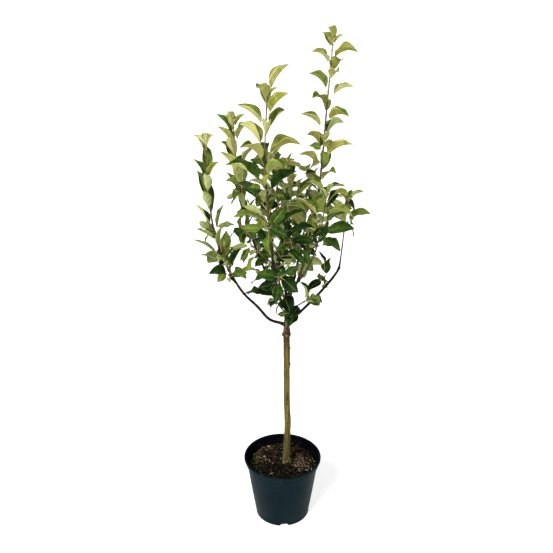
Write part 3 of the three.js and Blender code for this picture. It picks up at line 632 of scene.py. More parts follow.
def tube(pile, points, radii, sides, finish=0, mark=0.0, tip=0.6):
    """A round skin along a line of points, with a domed end. Radii may differ round each ring."""
    points = np.asarray(points, float)
    radii = np.asarray(radii, float)
    if radii.ndim < 2:
        radii = np.repeat(np.broadcast_to(radii, len(points))[:, None], sides, axis=1)
    along, a, b = ring_frames(points)
    rings = points[:, None] + ways_round(a, b, turns_round(sides)) * radii[..., None]
    ends = [points[0], points[-1] + along[-1] * radii[-1].mean() * tip]
    marks = np.broadcast_to(mark, len(points))
    skin(pile, rings, ends, finish, np.concatenate([np.repeat(marks, sides), marks[[0, -1]]]))


def bezier(a, b, c, d, steps):
    t = np.linspace(0, 1, steps)[:, None]
    return a * (1 - t) ** 3 + 3 * b * t * (1 - t) ** 2 + 3 * c * t * t * (1 - t) + d * t**3

# ---------------------------------------------------------------- materials

def linear(*colour):
    """A colour of 0 to 255, as it looks on a screen, as the shader wants it."""
    shares = np.array(colour, float) / 255
    return (*np.where(shares <= 0.04045, shares / 12.92, ((shares + 0.055) / 1.055) ** 2.4), 1.0)


class Shader:
    """A material under construction: its principled shader and the nodes that feed it."""

    def __init__(self, name, colour, roughness, specular=0.5, **settings):
        self.material = bpy.data.materials.new(name)
        self.material.use_nodes = True
        self.tree = self.material.node_tree
        self.skin = self.tree.nodes["Principled BSDF"]
        self.set(self.skin, **{"Base Color": linear(*colour), "Roughness": roughness,
                               "Specular IOR Level": specular}, **settings)
        self.material.diffuse_color = linear(*colour)

    def feed(self, socket, value):
        """The value on an input, or a link to it where the value is another node's output."""
        if isinstance(value, bpy.types.NodeSocket):
            self.tree.links.new(value, socket)
        else:
            socket.default_value = value

    def set(self, node, **inputs):
        for name, value in inputs.items():
            self.feed(node.inputs[name], value)
        return node

    def node(self, kind, properties=None, **inputs):
        made = self.tree.nodes.new(kind)
        for name, value in (properties or {}).items():
            setattr(made, name, value)
        return self.set(made, **inputs)

    def place(self, stretch=(1, 1, 1)):
        """The point on the object, in metres, stretched along its axes."""
        where = self.node("ShaderNodeTexCoord").outputs["Object"]
        if stretch == (1, 1, 1):
            return where
        return self.node("ShaderNodeMapping", Vector=where, Scale=stretch).outputs["Vector"]

    def noise(self, size, detail=3.0, stretch=(1, 1, 1)):
        """Noise from 0 to 1 with features about `size` metres wide."""
        return self.node("ShaderNodeTexNoise", Vector=self.place(stretch), Scale=0.5 / size, Detail=detail,
                         Roughness=0.55).outputs["Fac"]

    def ramp(self, value, *stops):
        """Colours or greys at values: each stop is a place and what it has there."""
        made = self.node("ShaderNodeValToRGB", Fac=value)
        elements = made.color_ramp.elements
        for n, (at, what) in enumerate(stops):
            element = elements[n] if n < 2 else elements.new(at)
            element.position = at
            element.color = linear(*what) if np.ndim(what) else (what, what, what, 1)
        return made.outputs["Color"]

    def blend(self, share, below, above):
        made = self.node("ShaderNodeMix", {"data_type": "RGBA"})
        self.feed(made.inputs[0], share)
        for place, value in ((6, below), (7, above)):
            self.feed(made.inputs[place], linear(*value) if isinstance(value, tuple) else value)
        return made.outputs[2]

    def stain(self, body, colour, value, *stops):
        """The body with a colour over it, as strong as the ramp says at each value."""
        return self.blend(self.ramp(value, *stops), body, colour)

    def maths(self, how, a, b):
        made = self.node("ShaderNodeMath", {"operation": how})
        self.feed(made.inputs[0], a)
        self.feed(made.inputs[1], b)
        return made.outputs[0]

    def height(self):
        """The height above the pot's foot, in metres."""
        return self.node("ShaderNodeSeparateXYZ", Vector=self.place()).outputs["Z"]

    def mark(self):
        """The number that each point of the mesh carries."""
        return self.node("ShaderNodeAttribute", {"attribute_name": "mark"}).outputs["Fac"]

    def colour(self, socket):
        self.feed(self.skin.inputs["Base Color"], socket)

    def gloss(self, socket):
        self.feed(self.skin.inputs["Roughness"], socket)

    def bumped(self, socket, distance, strength):
        """The finished material, with this relief."""
        made = self.node("ShaderNodeBump", Height=socket, Distance=distance, Strength=strength)
        self.feed(self.skin.inputs["Normal"], made.outputs["Normal"])
        return self.material

# ---------------------------------------------------------------- finishes

def plain(*looks, **settings):
    return Shader(*looks, **settings).material


# Leaf colours from the deepest shade to the palest. A leaf has one level, and its patches lie round it.
LEVELS = 10
TOP_COLOURS = ((8, 21, 3), (31, 57, 12), (80, 101, 30), (136, 140, 62))
UNDER_COLOURS = ((58, 65, 22), (98, 103, 36), (134, 136, 54), (182, 181, 114))
GREEN_COLOURS = ((48, 65, 24), (83, 98, 42), (124, 138, 68), (170, 179, 118))  # of greener undersides
PINK = (190, 156, 120)
RIB_COLOURS = {"dark": (68, 90, 42), "green": (124, 138, 76), "pale": (206, 196, 146), "pink": PINK}


def shades(colours):
    """The levels from one end of a row of colours to the other."""
    steps = np.linspace(0, len(colours) - 1, LEVELS)
    return [tuple(np.interp(step, range(len(colours)), part) for part in zip(*colours)) for step in steps]


# The kinds of leaf side: name, colours, roughness and specular level.
LEAF_SIDES = (("top", TOP_COLOURS, 0.44, 0.06), ("under", UNDER_COLOURS, 0.68, 0.05),
              ("green", GREEN_COLOURS, 0.62, 0.05))
leaf_finishes = [plain(f"leaf_{side}_{n}", colour, roughness, specular)
                 for side, colours, roughness, specular in LEAF_SIDES
                 for n, colour in enumerate(shades(colours))]
leaf_finishes += [plain("leaf_rib_" + name, colour, 0.5, 0.25) for name, colour in RIB_COLOURS.items()]
FIRST_UNDER, FIRST_GREEN = LEVELS, 2 * LEVELS
RIB = {name: 3 * LEVELS + n for n, name in enumerate(RIB_COLOURS)}

STALK_TONES = {
    "stalk_pink": (PINK, 0.5),
    "stalk_green": ((156, 158, 88), 0.5),
    "bud_brown": ((92, 62, 46), 0.6),
    "bud_green": ((120, 126, 66), 0.55),
}
STALK = {name: n + 1 for n, name in enumerate(STALK_TONES)}


def bough_finish():
    """Bark by age: brown at a limb's foot, near black above it, then purple-brown, greenish at its tip."""
    made = Shader("bark_boughs", (34, 25, 19), 0.55, 0.1)
    body = made.ramp(made.mark(), (0, (58, 45, 31)), (0.07, (26, 20, 14)), (0.3, (18, 14, 10)),
                     (0.5, (104, 83, 58)), (0.62, (112, 91, 68)), (0.8, (122, 100, 85)), (1, (142, 130, 92)))
    grain = made.noise(0.004, 4, (1, 1, 0.3))
    body = made.stain(body, (60, 54, 44), made.noise(0.012, 3), (0.52, 0.0), (0.75, 0.3))
    body = made.stain(body, (104, 90, 68), made.noise(0.0016, 2, (1, 1, 1.6)), (0.68, 0.0), (0.74, 0.5))
    body = made.stain(body, (12, 9, 7), grain, (0.36, 0.75), (0.58, 0.0))
    body = made.stain(body, (20, 14, 10), made.noise(0.0011, 3, (1, 1, 0.5)), (0.4, 0.5), (0.6, 0.0))
    made.colour(body)
    made.gloss(made.ramp(grain, (0.3, 0.62), (0.7, 0.42)))
    return made.bumped(grain, 0.0006, 0.6)


def trunk_finish():
    """Olive bark on the clean stem, grey-brown above the knuckle and brown by the mix."""
    made = Shader("bark_trunk", (80, 70, 24), 0.6, 0.08)
    height = made.height()
    wander = made.maths("MULTIPLY", made.maths("SUBTRACT", made.noise(0.02, 3), 0.5), 0.05)
    body = made.ramp(made.maths("ADD", height, wander), (0.17, (52, 49, 26)), (0.2, (66, 62, 34)),
                     (0.26, (80, 74, 34)), (0.31, (97, 88, 34)), (0.4, (97, 85, 28)), (0.56, (90, 77, 27)),
                     (0.622, (74, 60, 32)), (0.66, (78, 62, 42)), (0.74, (72, 57, 42)))
    streaks = made.noise(0.0035, 4, (1, 1, 0.12))
    body = made.stain(body, (44, 35, 16), streaks, (0.36, 0.7), (0.54, 0.0))
    body = made.stain(body, (40, 32, 16), made.noise(0.0012, 4, (1, 1, 0.25)), (0.38, 0.55), (0.52, 0.0))
    body = made.stain(body, (130, 119, 68), streaks, (0.55, 0.0), (0.7, 0.5))
    rough = made.ramp(height, (0.61, 0.0), (0.64, 1.0))
    crust = made.noise(0.0045, 3, (1, 1, 0.8))
    low = made.ramp(height, (0.21, 1.0), (0.275, 0.0))

    def stain_there(body, where, colour, value, *stops):
        return made.blend(made.maths("MULTIPLY", where, made.ramp(value, *stops)), body, colour)

    body = stain_there(body, rough, (30, 22, 14), crust, (0.4, 0.9), (0.5, 0.0))
    body = stain_there(body, rough, (146, 122, 84), crust, (0.56, 0.0), (0.66, 0.8))
    body = made.stain(body, (98, 90, 54), made.noise(0.016, 4, (1, 1, 0.6)), (0.54, 0.0), (0.72, 0.4))
    body = made.stain(body, (122, 112, 68), made.noise(0.0022, 2, (1, 1, 2.2)), (0.68, 0.0), (0.74, 0.6))
    body = stain_there(body, low, (152, 146, 100), made.noise(0.001, 3, (1, 1, 0.6)), (0.5, 0.0), (0.68, 0.7))
    # the mark darkens the scars, the wound and the stub, and paints shade into the wrinkles' hollows
    made.colour(made.blend(made.mark(), body, (34, 24, 15)))
    made.gloss(made.ramp(streaks, (0.3, 0.66), (0.7, 0.46)))
    return made.bumped(streaks, 0.0007, 0.5)


def pot_finish():
    """Blow-moulded dark plastic: satin, a little uneven, with dust on the wall and scuffs on its edges."""
    made = Shader("pot_plastic", (6, 25, 29), 0.4, 0.035)
    height = made.height()
    cloud = made.noise(0.05, 4)
    body = made.ramp(cloud, (0.3, (2, 17, 22)), (0.7, (5, 26, 31)))
    body = made.stain(body, (10, 36, 42), made.noise(0.006, 3, (1, 1, 0.06)), (0.56, 0.0), (0.8, 0.2))
    dust = made.maths("MULTIPLY", made.ramp(made.noise(0.02, 5), (0.5, 0.0), (0.8, 0.2)),
                      made.ramp(height, (0.0, 1.0), (0.05, 0.35), (0.17, 0.15), (0.2, 0.6)))
    body = made.blend(dust, body, (62, 60, 52))
    made.colour(made.stain(body, (84, 80, 68), made.noise(0.0012, 1), (0.75, 0.0), (0.79, 0.5)))
    # grime keeps the slope under the collar dull
    slope = made.ramp(height, (0.1785, 0.0), (0.181, 1.0), (0.1845, 1.0), (0.186, 0.0))
    made.gloss(made.blend(slope, made.ramp(cloud, (0.3, 0.38), (0.7, 0.54)), (255, 255, 255)))
    return made.bumped(made.noise(0.0012, 2), 0.0003, 0.3)


def pot_lining():
    """The pot's inside, painted near black as painted shade, with dried mix on it."""
    made = Shader("pot_lining", (5, 4, 8), 0.6, 0.03)
    made.colour(made.stain((4, 3, 7), (30, 26, 22), made.noise(0.012, 5), (0.5, 0.0), (0.78, 0.5)))
    return made.bumped(made.noise(0.0016, 3), 0.0004, 0.4)


def mix_finish():
    made = Shader("mix_compost", (24, 18, 12), 0.95, 0.02)
    grain = made.noise(0.0032, 6)
    # painted shade: the grain's low places, which are the hollows of the relief below, are near black
    body = made.ramp(grain, (0.36, (1, 1, 1)), (0.52, (13, 11, 10)), (0.66, (38, 33, 26)),
                     (0.82, (82, 71, 55)))
    body = made.stain(body, (54, 32, 22), made.noise(0.014, 3), (0.56, 0.0), (0.7, 0.4))
    made.colour(made.stain(body, (112, 96, 70), made.noise(0.0014, 2), (0.72, 0.0), (0.77, 0.5)))
    return made.bumped(grain, 0.002, 0.8)


def chip_finish(name, dark, light):
    made = Shader(name, tuple((np.array(dark) + light) / 2), 0.85, 0.04)
    made.colour(made.ramp(made.noise(0.002, 4, (1, 1, 0.6)), (0.35, dark), (0.7, light)))
    return made.bumped(made.noise(0.0008, 3), 0.0004, 0.5)


bough_bark = bough_finish()
trunk_bark = trunk_finish()
stalk_finishes = [bough_bark] + [plain(name, *look) for name, look in STALK_TONES.items()]

# ---------------------------------------------------------------- leaves

VEINS = 7
ACROSS = np.array([-1, -0.8, -0.52, -0.24, -0.05, 0, 0.05, 0.24, 0.52, 0.8, 1])
SMALL_ACROSS = np.array([-1, -0.6, -0.07, 0, 0.07, 0.6, 1])
SMALL_LEAF = 30  # blades shorter than this have the coarser grid
BLADE_WIDTHS = (0.216, 0.3)  # half of it as a share of the length, in the crown's heart and at its top
ROUND_WIDTH = 0.32  # the same of the lowest leaves
VEIN_REACH = (0.05, 0.92)  # shares of the blade between which side veins start
VEIN_ROWS = ((0, True), (0.14, True), (0.45, False), (0.72, False))  # share of a gap, and if on the vein
VEIN_SHEAR = 0.16  # a side vein's end lies this share of the blade further on than its start
TIP_ROWS = (0.93, 0.965, 0.988)
SHEET = 0.0035  # half a blade's thickness as a share of its length
RIB_DEPTH = 0.012  # how far the midrib stands out beneath, as a share of the length
HEART_TO_TOP = (900, 1200)  # between these heights the heart's kind of leaf passes into the top's
CROWN_SPAN = (640, 1380)
CROWN_MIDDLE = vec(25, 20)
CROWN_RADIUS = 170
ROUND_BELOW = 880  # lower than this, nearly all leaves are of the round kind
YOUNG_BLADE = 42  # a shorter blade than this is young and pale
TOP_GROWTH = 1.07  # how much longer the uppermost leaves are than the solids'
TIP_LEAVES = 6
SHORT_LIMB = 150  # a limb that rises less than this is short
PATCHWORK = 0.42  # how much the patches of a leaf differ, in levels


class BladePlan:
    """A blade's grid: where its points lie along and across, its faces, and how light each of them is."""

    def __init__(self, veins, across, tooth, relief, drawn_out):
        starts, on_vein, gap = [0.012], [False], [0]
        for n in range(veins):
            start, after = (mix(*VEIN_REACH, (k / veins) ** 1.06) for k in (n, n + 1))
            starts += [mix(start, after, part) for part, _ in VEIN_ROWS]
            on_vein += [vein for _, vein in VEIN_ROWS]
            gap += [n] * len(VEIN_ROWS)
        starts = np.array(starts + list(TIP_ROWS))[:, None]
        on_vein = np.array(on_vein + [False] * len(TIP_ROWS))
        self.gap = np.array(gap + [veins - 1] * len(TIP_ROWS))[:-1]
        self.across = np.broadcast_to(across, (len(starts), len(across)))
        self.size = np.abs(self.across)
        shear = VEIN_SHEAR * self.size**1.2 * np.sin(math.pi * starts) ** 0.8
        self.along = starts + shear * (1 - starts)
        odd = np.arange(len(starts))[:, None] % 2 == 1
        teeth = np.where(self.size == 1, np.where(odd, 1 + tooth, 1 - tooth), 1)
        tip = 1 - drawn_out * np.clip((self.along - 0.72) / 0.28, 0, 1) ** 1.4
        self.half = outline(self.along) * tip * teeth
        between_veins = 4 * self.size * (1 - self.size) + 0.35 * self.size
        self.quilt = relief * between_veins * np.where(on_vein, -1, 0.8)[:, None]
        middle = np.abs(across[:-1] + across[1:]) / 2
        self.is_rib = middle < 0.1
        self.right = ((across[:-1] + across[1:]) > 0).astype(int)
        vein_faces = (on_vein[:-1] & on_vein[1:])[:, None] & (relief > 0)
        # painted highlight: the faces along a blade's edge are paler, on both sides
        margin = np.where(middle > 0.85, 1.4, 0) if relief else 0
        self.shade = 0.7 * bell(middle, 0.3) - 0.8 * middle**3 + margin + np.where(vein_faces, 0.7, 0)
        # painted sheen: a paler streak along the underside, partway out from the midrib
        painted_sheen = bell(middle - 0.38, 0.16)
        self.under_shade = np.broadcast_to(0.7 * painted_sheen - 0.4 + margin * 1.2, self.shade.shape)

        rows, columns = self.across.shape
        upper = np.arange(rows * columns).reshape(rows, columns)
        lower = upper + rows * columns
        lower[:, [0, -1]] = upper[:, [0, -1]]
        heel, point = 2 * rows * columns, 2 * rows * columns + 1
        self.quads = np.concatenate([self.sheet(upper), self.sheet(lower)[:, ::-1]])
        self.tris = np.concatenate([self.cap(upper[0], heel)[:, ::-1], self.cap(lower[0], heel),
                                    self.cap(upper[-1], point), self.cap(lower[-1], point)[:, ::-1]])

    def sheet(self, grid):
        return np.stack([grid[:-1, :-1], grid[:-1, 1:], grid[1:, 1:], grid[1:, :-1]], axis=-1).reshape(-1, 4)

    def cap(self, row, end):
        return np.stack([np.full(len(row) - 1, end), row[:-1], row[1:]], axis=-1)


LARGE_BLADE = BladePlan(VEINS, ACROSS, 0.022, 0.003, 0.42)
ROUND_BLADE = BladePlan(VEINS, ACROSS, 0.022, 0.003, 0.1)
SMALL_BLADE = BladePlan(4, SMALL_ACROSS, 0, 0, 0.42)


@dataclass
class Look:
    """How one blade differs from the next."""
    plan: BladePlan
    width: float
    waves: float
    phase: float
    wave_size: float
    cup: float
    sweep: float
    twist: float
    hook: float  # how far its tip curls under, as a share of its length
    top: float  # level of its upper side's colour
    under: float
    green: tuple  # if each half of its underside is of the greener kind
    rib_top: int
    rib_under: int
    patches: np.ndarray  # added to the level, for each gap between veins and each side


def leaf_blade(pile, leaf, look):
    """A thin closed blade: V-folded, wavy at its toothed margin, quilted between its veins."""
    plan, t, size = look.plan, look.plan.along, look.plan.size
    half = leaf.length * look.width * plan.half
    _, side, face = leaf_frame(leaf, t)
    turned = (look.twist * t**1.5)[..., None]
    side, face = rolled(side, face, np.cos(turned), np.sin(turned))
    lift = half * size * math.sin(leaf.fold) * (1 - look.cup * (1 - size))
    wave = np.sin(FULL_TURN * look.waves * t + look.phase + np.sign(plan.across) * 1.1)
    lift += half * look.wave_size * size**2 * wave + leaf.length * plan.quilt
    lift -= leaf.length * look.hook * smooth(t, 0.45, 1.15)
    reach = half * plan.across * math.cos(leaf.fold) + leaf.length * look.sweep * np.sin(math.pi * t)
    surface = midrib(leaf, t) + side * reach[..., None] + face * lift[..., None]
    thin = leaf.length * SHEET * (1 - size**3)
    rib = np.where(size == 0, leaf.length * RIB_DEPTH * (1 - t * 0.75), 0)
    over = surface + face * (thin - rib * 0.35)[..., None]
    below = surface - face * (thin + rib)[..., None]
    ends = midrib(leaf, vec(0, 1))
    ends[1] -= face[-1, len(face[-1]) // 2] * leaf.length * look.hook * 0.97
    pile.points.append(np.concatenate([over.reshape(-1, 3), below.reshape(-1, 3), ends]))
    pile.marks.append(np.zeros(len(pile.points[-1])))

    finishes = []
    patches = look.patches[plan.gap][:, plan.right]
    under = np.where(np.array(look.green)[plan.right], FIRST_GREEN, FIRST_UNDER)
    for first, shade, rib in ((0, look.top + plan.shade + patches, look.rib_top),
                              (under, look.under + plan.under_shade + patches, look.rib_under)):
        levels = first + np.clip(np.rint(shade), 0, LEVELS - 1).astype(int)
        finishes.append(np.where(plan.is_rib, rib, levels))
    pile.faces[4].append(plan.quads + pile.count)
    pile.finishes[4].append(np.concatenate([part.ravel() for part in finishes]))
    pile.faces[3].append(plan.tris + pile.count)
    pile.finishes[3].append(np.concatenate([finishes[side][end] for end in (0, -1) for side in (0, 1)]))
    pile.count += len(pile.points[-1])


def leaf_stalk(pile, leaf, finish):
    """A curved stalk, thick where it joins the shoot, with a bud in its angle."""
    away = leaf_frame(leaf, vec(0.0))[0].reshape(3)
    end = leaf.foot + away * leaf.stalk
    start_way = unit(leaf.axis * 0.35 + leaf.out)
    foot = leaf.foot + leaf.out * leaf.stem_radius * 0.5
    line = bezier(foot, foot + start_way * leaf.stalk * 0.3, end - away * leaf.stalk * 0.35,
                  end + away * leaf.length * 0.02, 9)
    size = 0.35 + leaf.length / 130
    share = np.linspace(0, 1, 9)
    radii = size * (0.95 - 0.25 * share + 0.8 * np.exp(-share * 9))
    tube(pile, line, radii, 6, finish)


def bud(pile, leaf, finish):
    """A small pointed bud, pressed to the shoot above a stalk."""
    foot = leaf.foot + leaf.out * leaf.stem_radius * 0.7 + leaf.axis * 1.0
    way = unit(leaf.axis + leaf.out * 0.28)
    share = np.array([0, 0.15, 0.35, 0.6, 0.85])
    radii = 1.15 * np.array([0.7, 1, 0.95, 0.62, 0.2])
    tube(pile, foot + way * share[:, None] * 4.2, radii, 6, finish)


def look_of(leaf, random, patches):
    """One leaf's own look. Foliage is fresher to the top, and its colour is painted lighter to the top and
    outside and darker in the crown's heart: painted light and shade.
    """
    low, high = CROWN_SPAN
    height = (leaf.foot[2] - low) / (high - low)
    out = np.linalg.norm(leaf.foot[:2] - CROWN_MIDDLE) / CROWN_RADIUS
    # partly fresher young growth, partly painted light and shade: paler to the top and outside, darker in the
    # heart
    fresh_and_lit = 0.78 * height + 0.22 * out
    young = 1.5 if leaf.length < YOUNG_BLADE else 0
    on_spur = leaf.stem_radius < SPUR_STEM
    up = smooth(leaf.foot[2], *HEART_TO_TOP)
    top = fresh_and_lit * 8 + 0.4 + up * 0.5 + young + spread(mix(3.1, 2.4, up), random())
    under = fresh_and_lit * 4 + 3.9 + young + spread(2.4, random())
    rib_under = "pink" if fresh_and_lit > 0.45 and random() < 0.5 else "pale"
    is_round = leaf.foot[2] < ROUND_BELOW and random() < 0.88
    plan = SMALL_BLADE if leaf.length < SMALL_LEAF else ROUND_BLADE if is_round else LARGE_BLADE
    width = (ROUND_WIDTH if is_round else mix(*BLADE_WIDTHS, up)) * mix(0.9, 1.12, random())
    greener = mix(0.95, 0.1, up)
    return Look(
        plan=plan, width=width, patches=patches, top=top, under=under,
        rib_top=RIB["green" if top > 4 else "dark"], rib_under=RIB[rib_under],
        waves=mix(1.4, 2.6, random()),
        phase=random() * FULL_TURN,
        wave_size=mix(0.05, 0.2, random()),
        cup=mix(0.1, 0.5, random()),
        sweep=spread(0.03, random()),
        twist=spread(1.3 if on_spur else mix(0.9, 0.45, up), random()),
        hook=mix(0, 0.13, random()),
        green=(random() < greener, random() < greener),
    )


def tip_leaves(limb, random):
    """Young leaves still folded round the shoot's end."""
    axis = limb_along(limb, 1.0)
    foot = limb_points(limb, 1.0)
    made = []
    for n in range(TIP_LEAVES):
        part = n / (TIP_LEAVES - 1)
        blade = mix(34, 12, part) * mix(0.85, 1.15, random()) * (1 if limb.rise > SHORT_LIMB else 0.75)
        turn = GOLDEN_ANGLE * n + limb.seed + 1.0
        made.append(Leaf(
            foot=foot - axis * mix(9, 0, part), axis=axis, turn=turn, out=away_from(axis, turn),
            length=blade, stalk=blade * mix(0.3, 0.12, part), angle=math.radians(mix(34, 8, part)),
            bend=math.radians(mix(26, 8, part)), fold=math.radians(mix(52, 68, part)),
            roll=math.radians(spread(14, random())), mass=limb.name, stem_radius=0.8))
    return made


# How the two kinds of twig are drawn: girth, ridges of old leaf bases, a collar at the foot, and bark.
SPUR_TWIG = Named(steps=26, sides=8, radii=(1.9, 1.25), ridge=0.16, ridges=14, plain_to=0.3, collar=0.9,
                  collar_fade=14, tone=(0.3, 0.7))
FINE_TWIG = Named(steps=14, sides=7, radii=(1.5, 1.2), ridge=0.14, ridges=12, plain_to=0, collar=0.7,
                  collar_fade=9, tone=(0.2, 0.5))


def make_mass(limb, twigs, leaves, fine_twigs, fine_leaves):
    """The blades of one mass as a piece, and its stalks, buds and twigs as another."""
    random = Seeded(limb.seed + 7)
    patchwork = np.random.default_rng(limb.seed)
    blades, stalks = Pile(), Pile()
    for leaf in leaves + fine_leaves + tip_leaves(limb, random):
        leaf = replace(leaf, length=leaf.length * mix(1, TOP_GROWTH, smooth(leaf.foot[2], *HEART_TO_TOP)))
        leaf_blade(blades, leaf, look_of(leaf, random, patchwork.normal(0, PATCHWORK, (VEINS, 2))))
        leaf_stalk(stalks, leaf, STALK["stalk_pink"] if random() < 0.62 else STALK["stalk_green"])
        if leaf.length > SMALL_LEAF:
            bud(stalks, leaf, STALK["bud_brown"] if random() < 0.7 else STALK["bud_green"])
    for kind, lines in ((SPUR_TWIG, twigs), (FINE_TWIG, fine_twigs)):
        share = np.linspace(0, 1, kind.steps)
        ridges = kind.ridge * np.cos(share * math.pi * kind.ridges) * (share >= kind.plain_to)
        radii = mix(*kind.radii, share) + ridges + kind.collar * np.exp(-share * kind.collar_fade)
        for foot, middle, end in lines:
            line = bezier(foot, mix(foot, middle, 0.8), mix(end, middle, 0.6), end, kind.steps)
            tube(stalks, line, radii, kind.sides, mark=mix(*kind.tone, share))
    node = "leaves_" + limb.name
    blades.make("blades_" + limb.name, leaf_finishes, [node], "leaves")
    stalks.make("twigs_" + limb.name, stalk_finishes, [node], "bark_boughs")

# ---------------------------------------------------------------- limbs

LIMB_RING = 3
LIMB_SIDES = 18
LIMB_LENTICEL = 11  # about one lenticel for this much of a limb
# The relief on a limb: how far each thing stands out, and then the lengths over which it fades.
LIMB_COLLAR = (0.42, 6, 9)  # a share of its radius, kept this far from its foot, and then fading
LEAF_SWELLING = (0.22, 0.55, 3.2)  # all round, and more towards the leaf
TWIG_SWELLING = (0.9, 4.5)
LENTICEL = (0.3, 1.6, 1.1)  # along the limb, and round it
YEAR_SCAR = (0.3, 2.5, 2.4)  # rings where a year's growth ended, and how close they lie
KNOB = (1.1, 7)  # where the upright leaves the lowest right bough
OLD_TO_YOUNG = (700, 700)  # above this height bark looks younger, over this much of it


def make_limb(limb, twigs, leaves):
    """One limb from inside its foot to its tip: a collar at its foot and a swelling under each leaf."""
    length = limb_length(limb)
    share = np.linspace(0, 1, max(8, round(length / LIMB_RING)))
    points = limb_points(limb, share)
    far = share * length
    _, a, b = ring_frames(points)
    turn = turns_round(LIMB_SIDES)
    ways = ways_round(a, b, turn)
    radii = np.repeat((limb_radius(limb, share) * mix(1, limb.stout, share))[:, None], LIMB_SIDES, axis=1)
    size, kept, fade = LIMB_COLLAR
    radii += (size * radii[0].mean() * np.exp(-np.maximum(0, far - kept) / fade))[:, None]
    around, more, width = LEAF_SWELLING
    for leaf in leaves:
        near = np.linalg.norm(points - leaf.foot, axis=1)
        towards = np.clip((ways * leaf.out).sum(axis=2), 0, 1)
        radii += bell(near, width)[:, None] * (around + more * towards)
    size, width = TWIG_SWELLING
    for twig in twigs:
        radii += (size * bell(np.linalg.norm(points - twig[0], axis=1), width))[:, None]
    # bark: streaks along the limb, wrinkles across its older part, and lenticels
    flat = np.stack([np.broadcast_to(part, radii.shape) for part in
                     (np.cos(turn) * 5, np.sin(turn) * 5, far[:, None])], axis=-1)
    old = np.clip(1.2 - share * 1.3, 0.15, 1)[:, None]
    radii += 0.2 * lattice_noise(flat, (3, 3, 16), limb.seed) + 0.22 * lattice_noise(flat, 20, limb.seed + 1)
    radii += 0.2 * old * lattice_noise(flat, (7, 7, 3.2), limb.seed + 2)
    dots = Seeded(limb.seed + 3)
    size, long, wide = LENTICEL
    for _ in range(round(length / LIMB_LENTICEL)):
        at, around = dots() * length, dots() * FULL_TURN
        radii += size * bell(far - at, long)[:, None] * bell(apart(turn, around) * radii.mean(), wide)
    size, width, rings = YEAR_SCAR
    scar = np.abs(far - (0.36 if limb.rise > SHORT_LIMB else 0.2) * length)
    radii += (size * bell(scar, width) * np.cos(scar * rings))[:, None]
    if limb.bare == 1:
        size, width = KNOB
        radii += (size * bell(far - length, width))[:, None]
    low, over = OLD_TO_YOUNG
    age = np.clip(far / max(length, 1) * 0.75 + np.clip((points[:, 2] - low) / over, 0, 1) * 0.3, 0, 1)
    pile = Pile()
    tube(pile, points, radii, LIMB_SIDES, mark=mix(*limb.tone, age), tip=1.6)
    nodes = ["bough_" + limb.name] * (limb.bare > 0) + ["leaves_" + limb.name] * (limb.bare < 1)
    pile.make("limb_" + limb.name, [bough_bark], nodes, "bark_boughs")

# ---------------------------------------------------------------- trunk

TRUNK_SIDES = 64
TRUNK_RING = 1.8
TRUNK_BOTTOM = 160
TRUNK_GIRTH = 9  # the radius at which places round the trunk are measured
LENTICELS = 150
LENTICEL_TOP = 760
ROOTS = [(350, 1.4), (215, 0.8), (95, 3), (40, 1.2), (145, 1)]  # degrees round the trunk, and how far out
ROOT_HEIGHT = 16
ROUGH_SPREAD = 22  # how far the knuckle's rough bark reaches up and down
FOOT_SHIFT = (-2.1, 100)  # how far the trunk's foot stands off its axis along X, and over what height
WOUND = (200, 634)  # a healed cut on the outer side of the knuckle: degrees and height
STUB_HEIGHT = 678
STUB = ((0, 0, 0), (-3, -6, 3), (-5, -8, 10), (-7, -9, 17))  # the dead stub of a cut shoot, from the axis
THIN_ROOT = ((19, -6, 204), (23, -8, 197), (25, -10, 186), (36, -15, 172))  # it leaves the foot above the mix


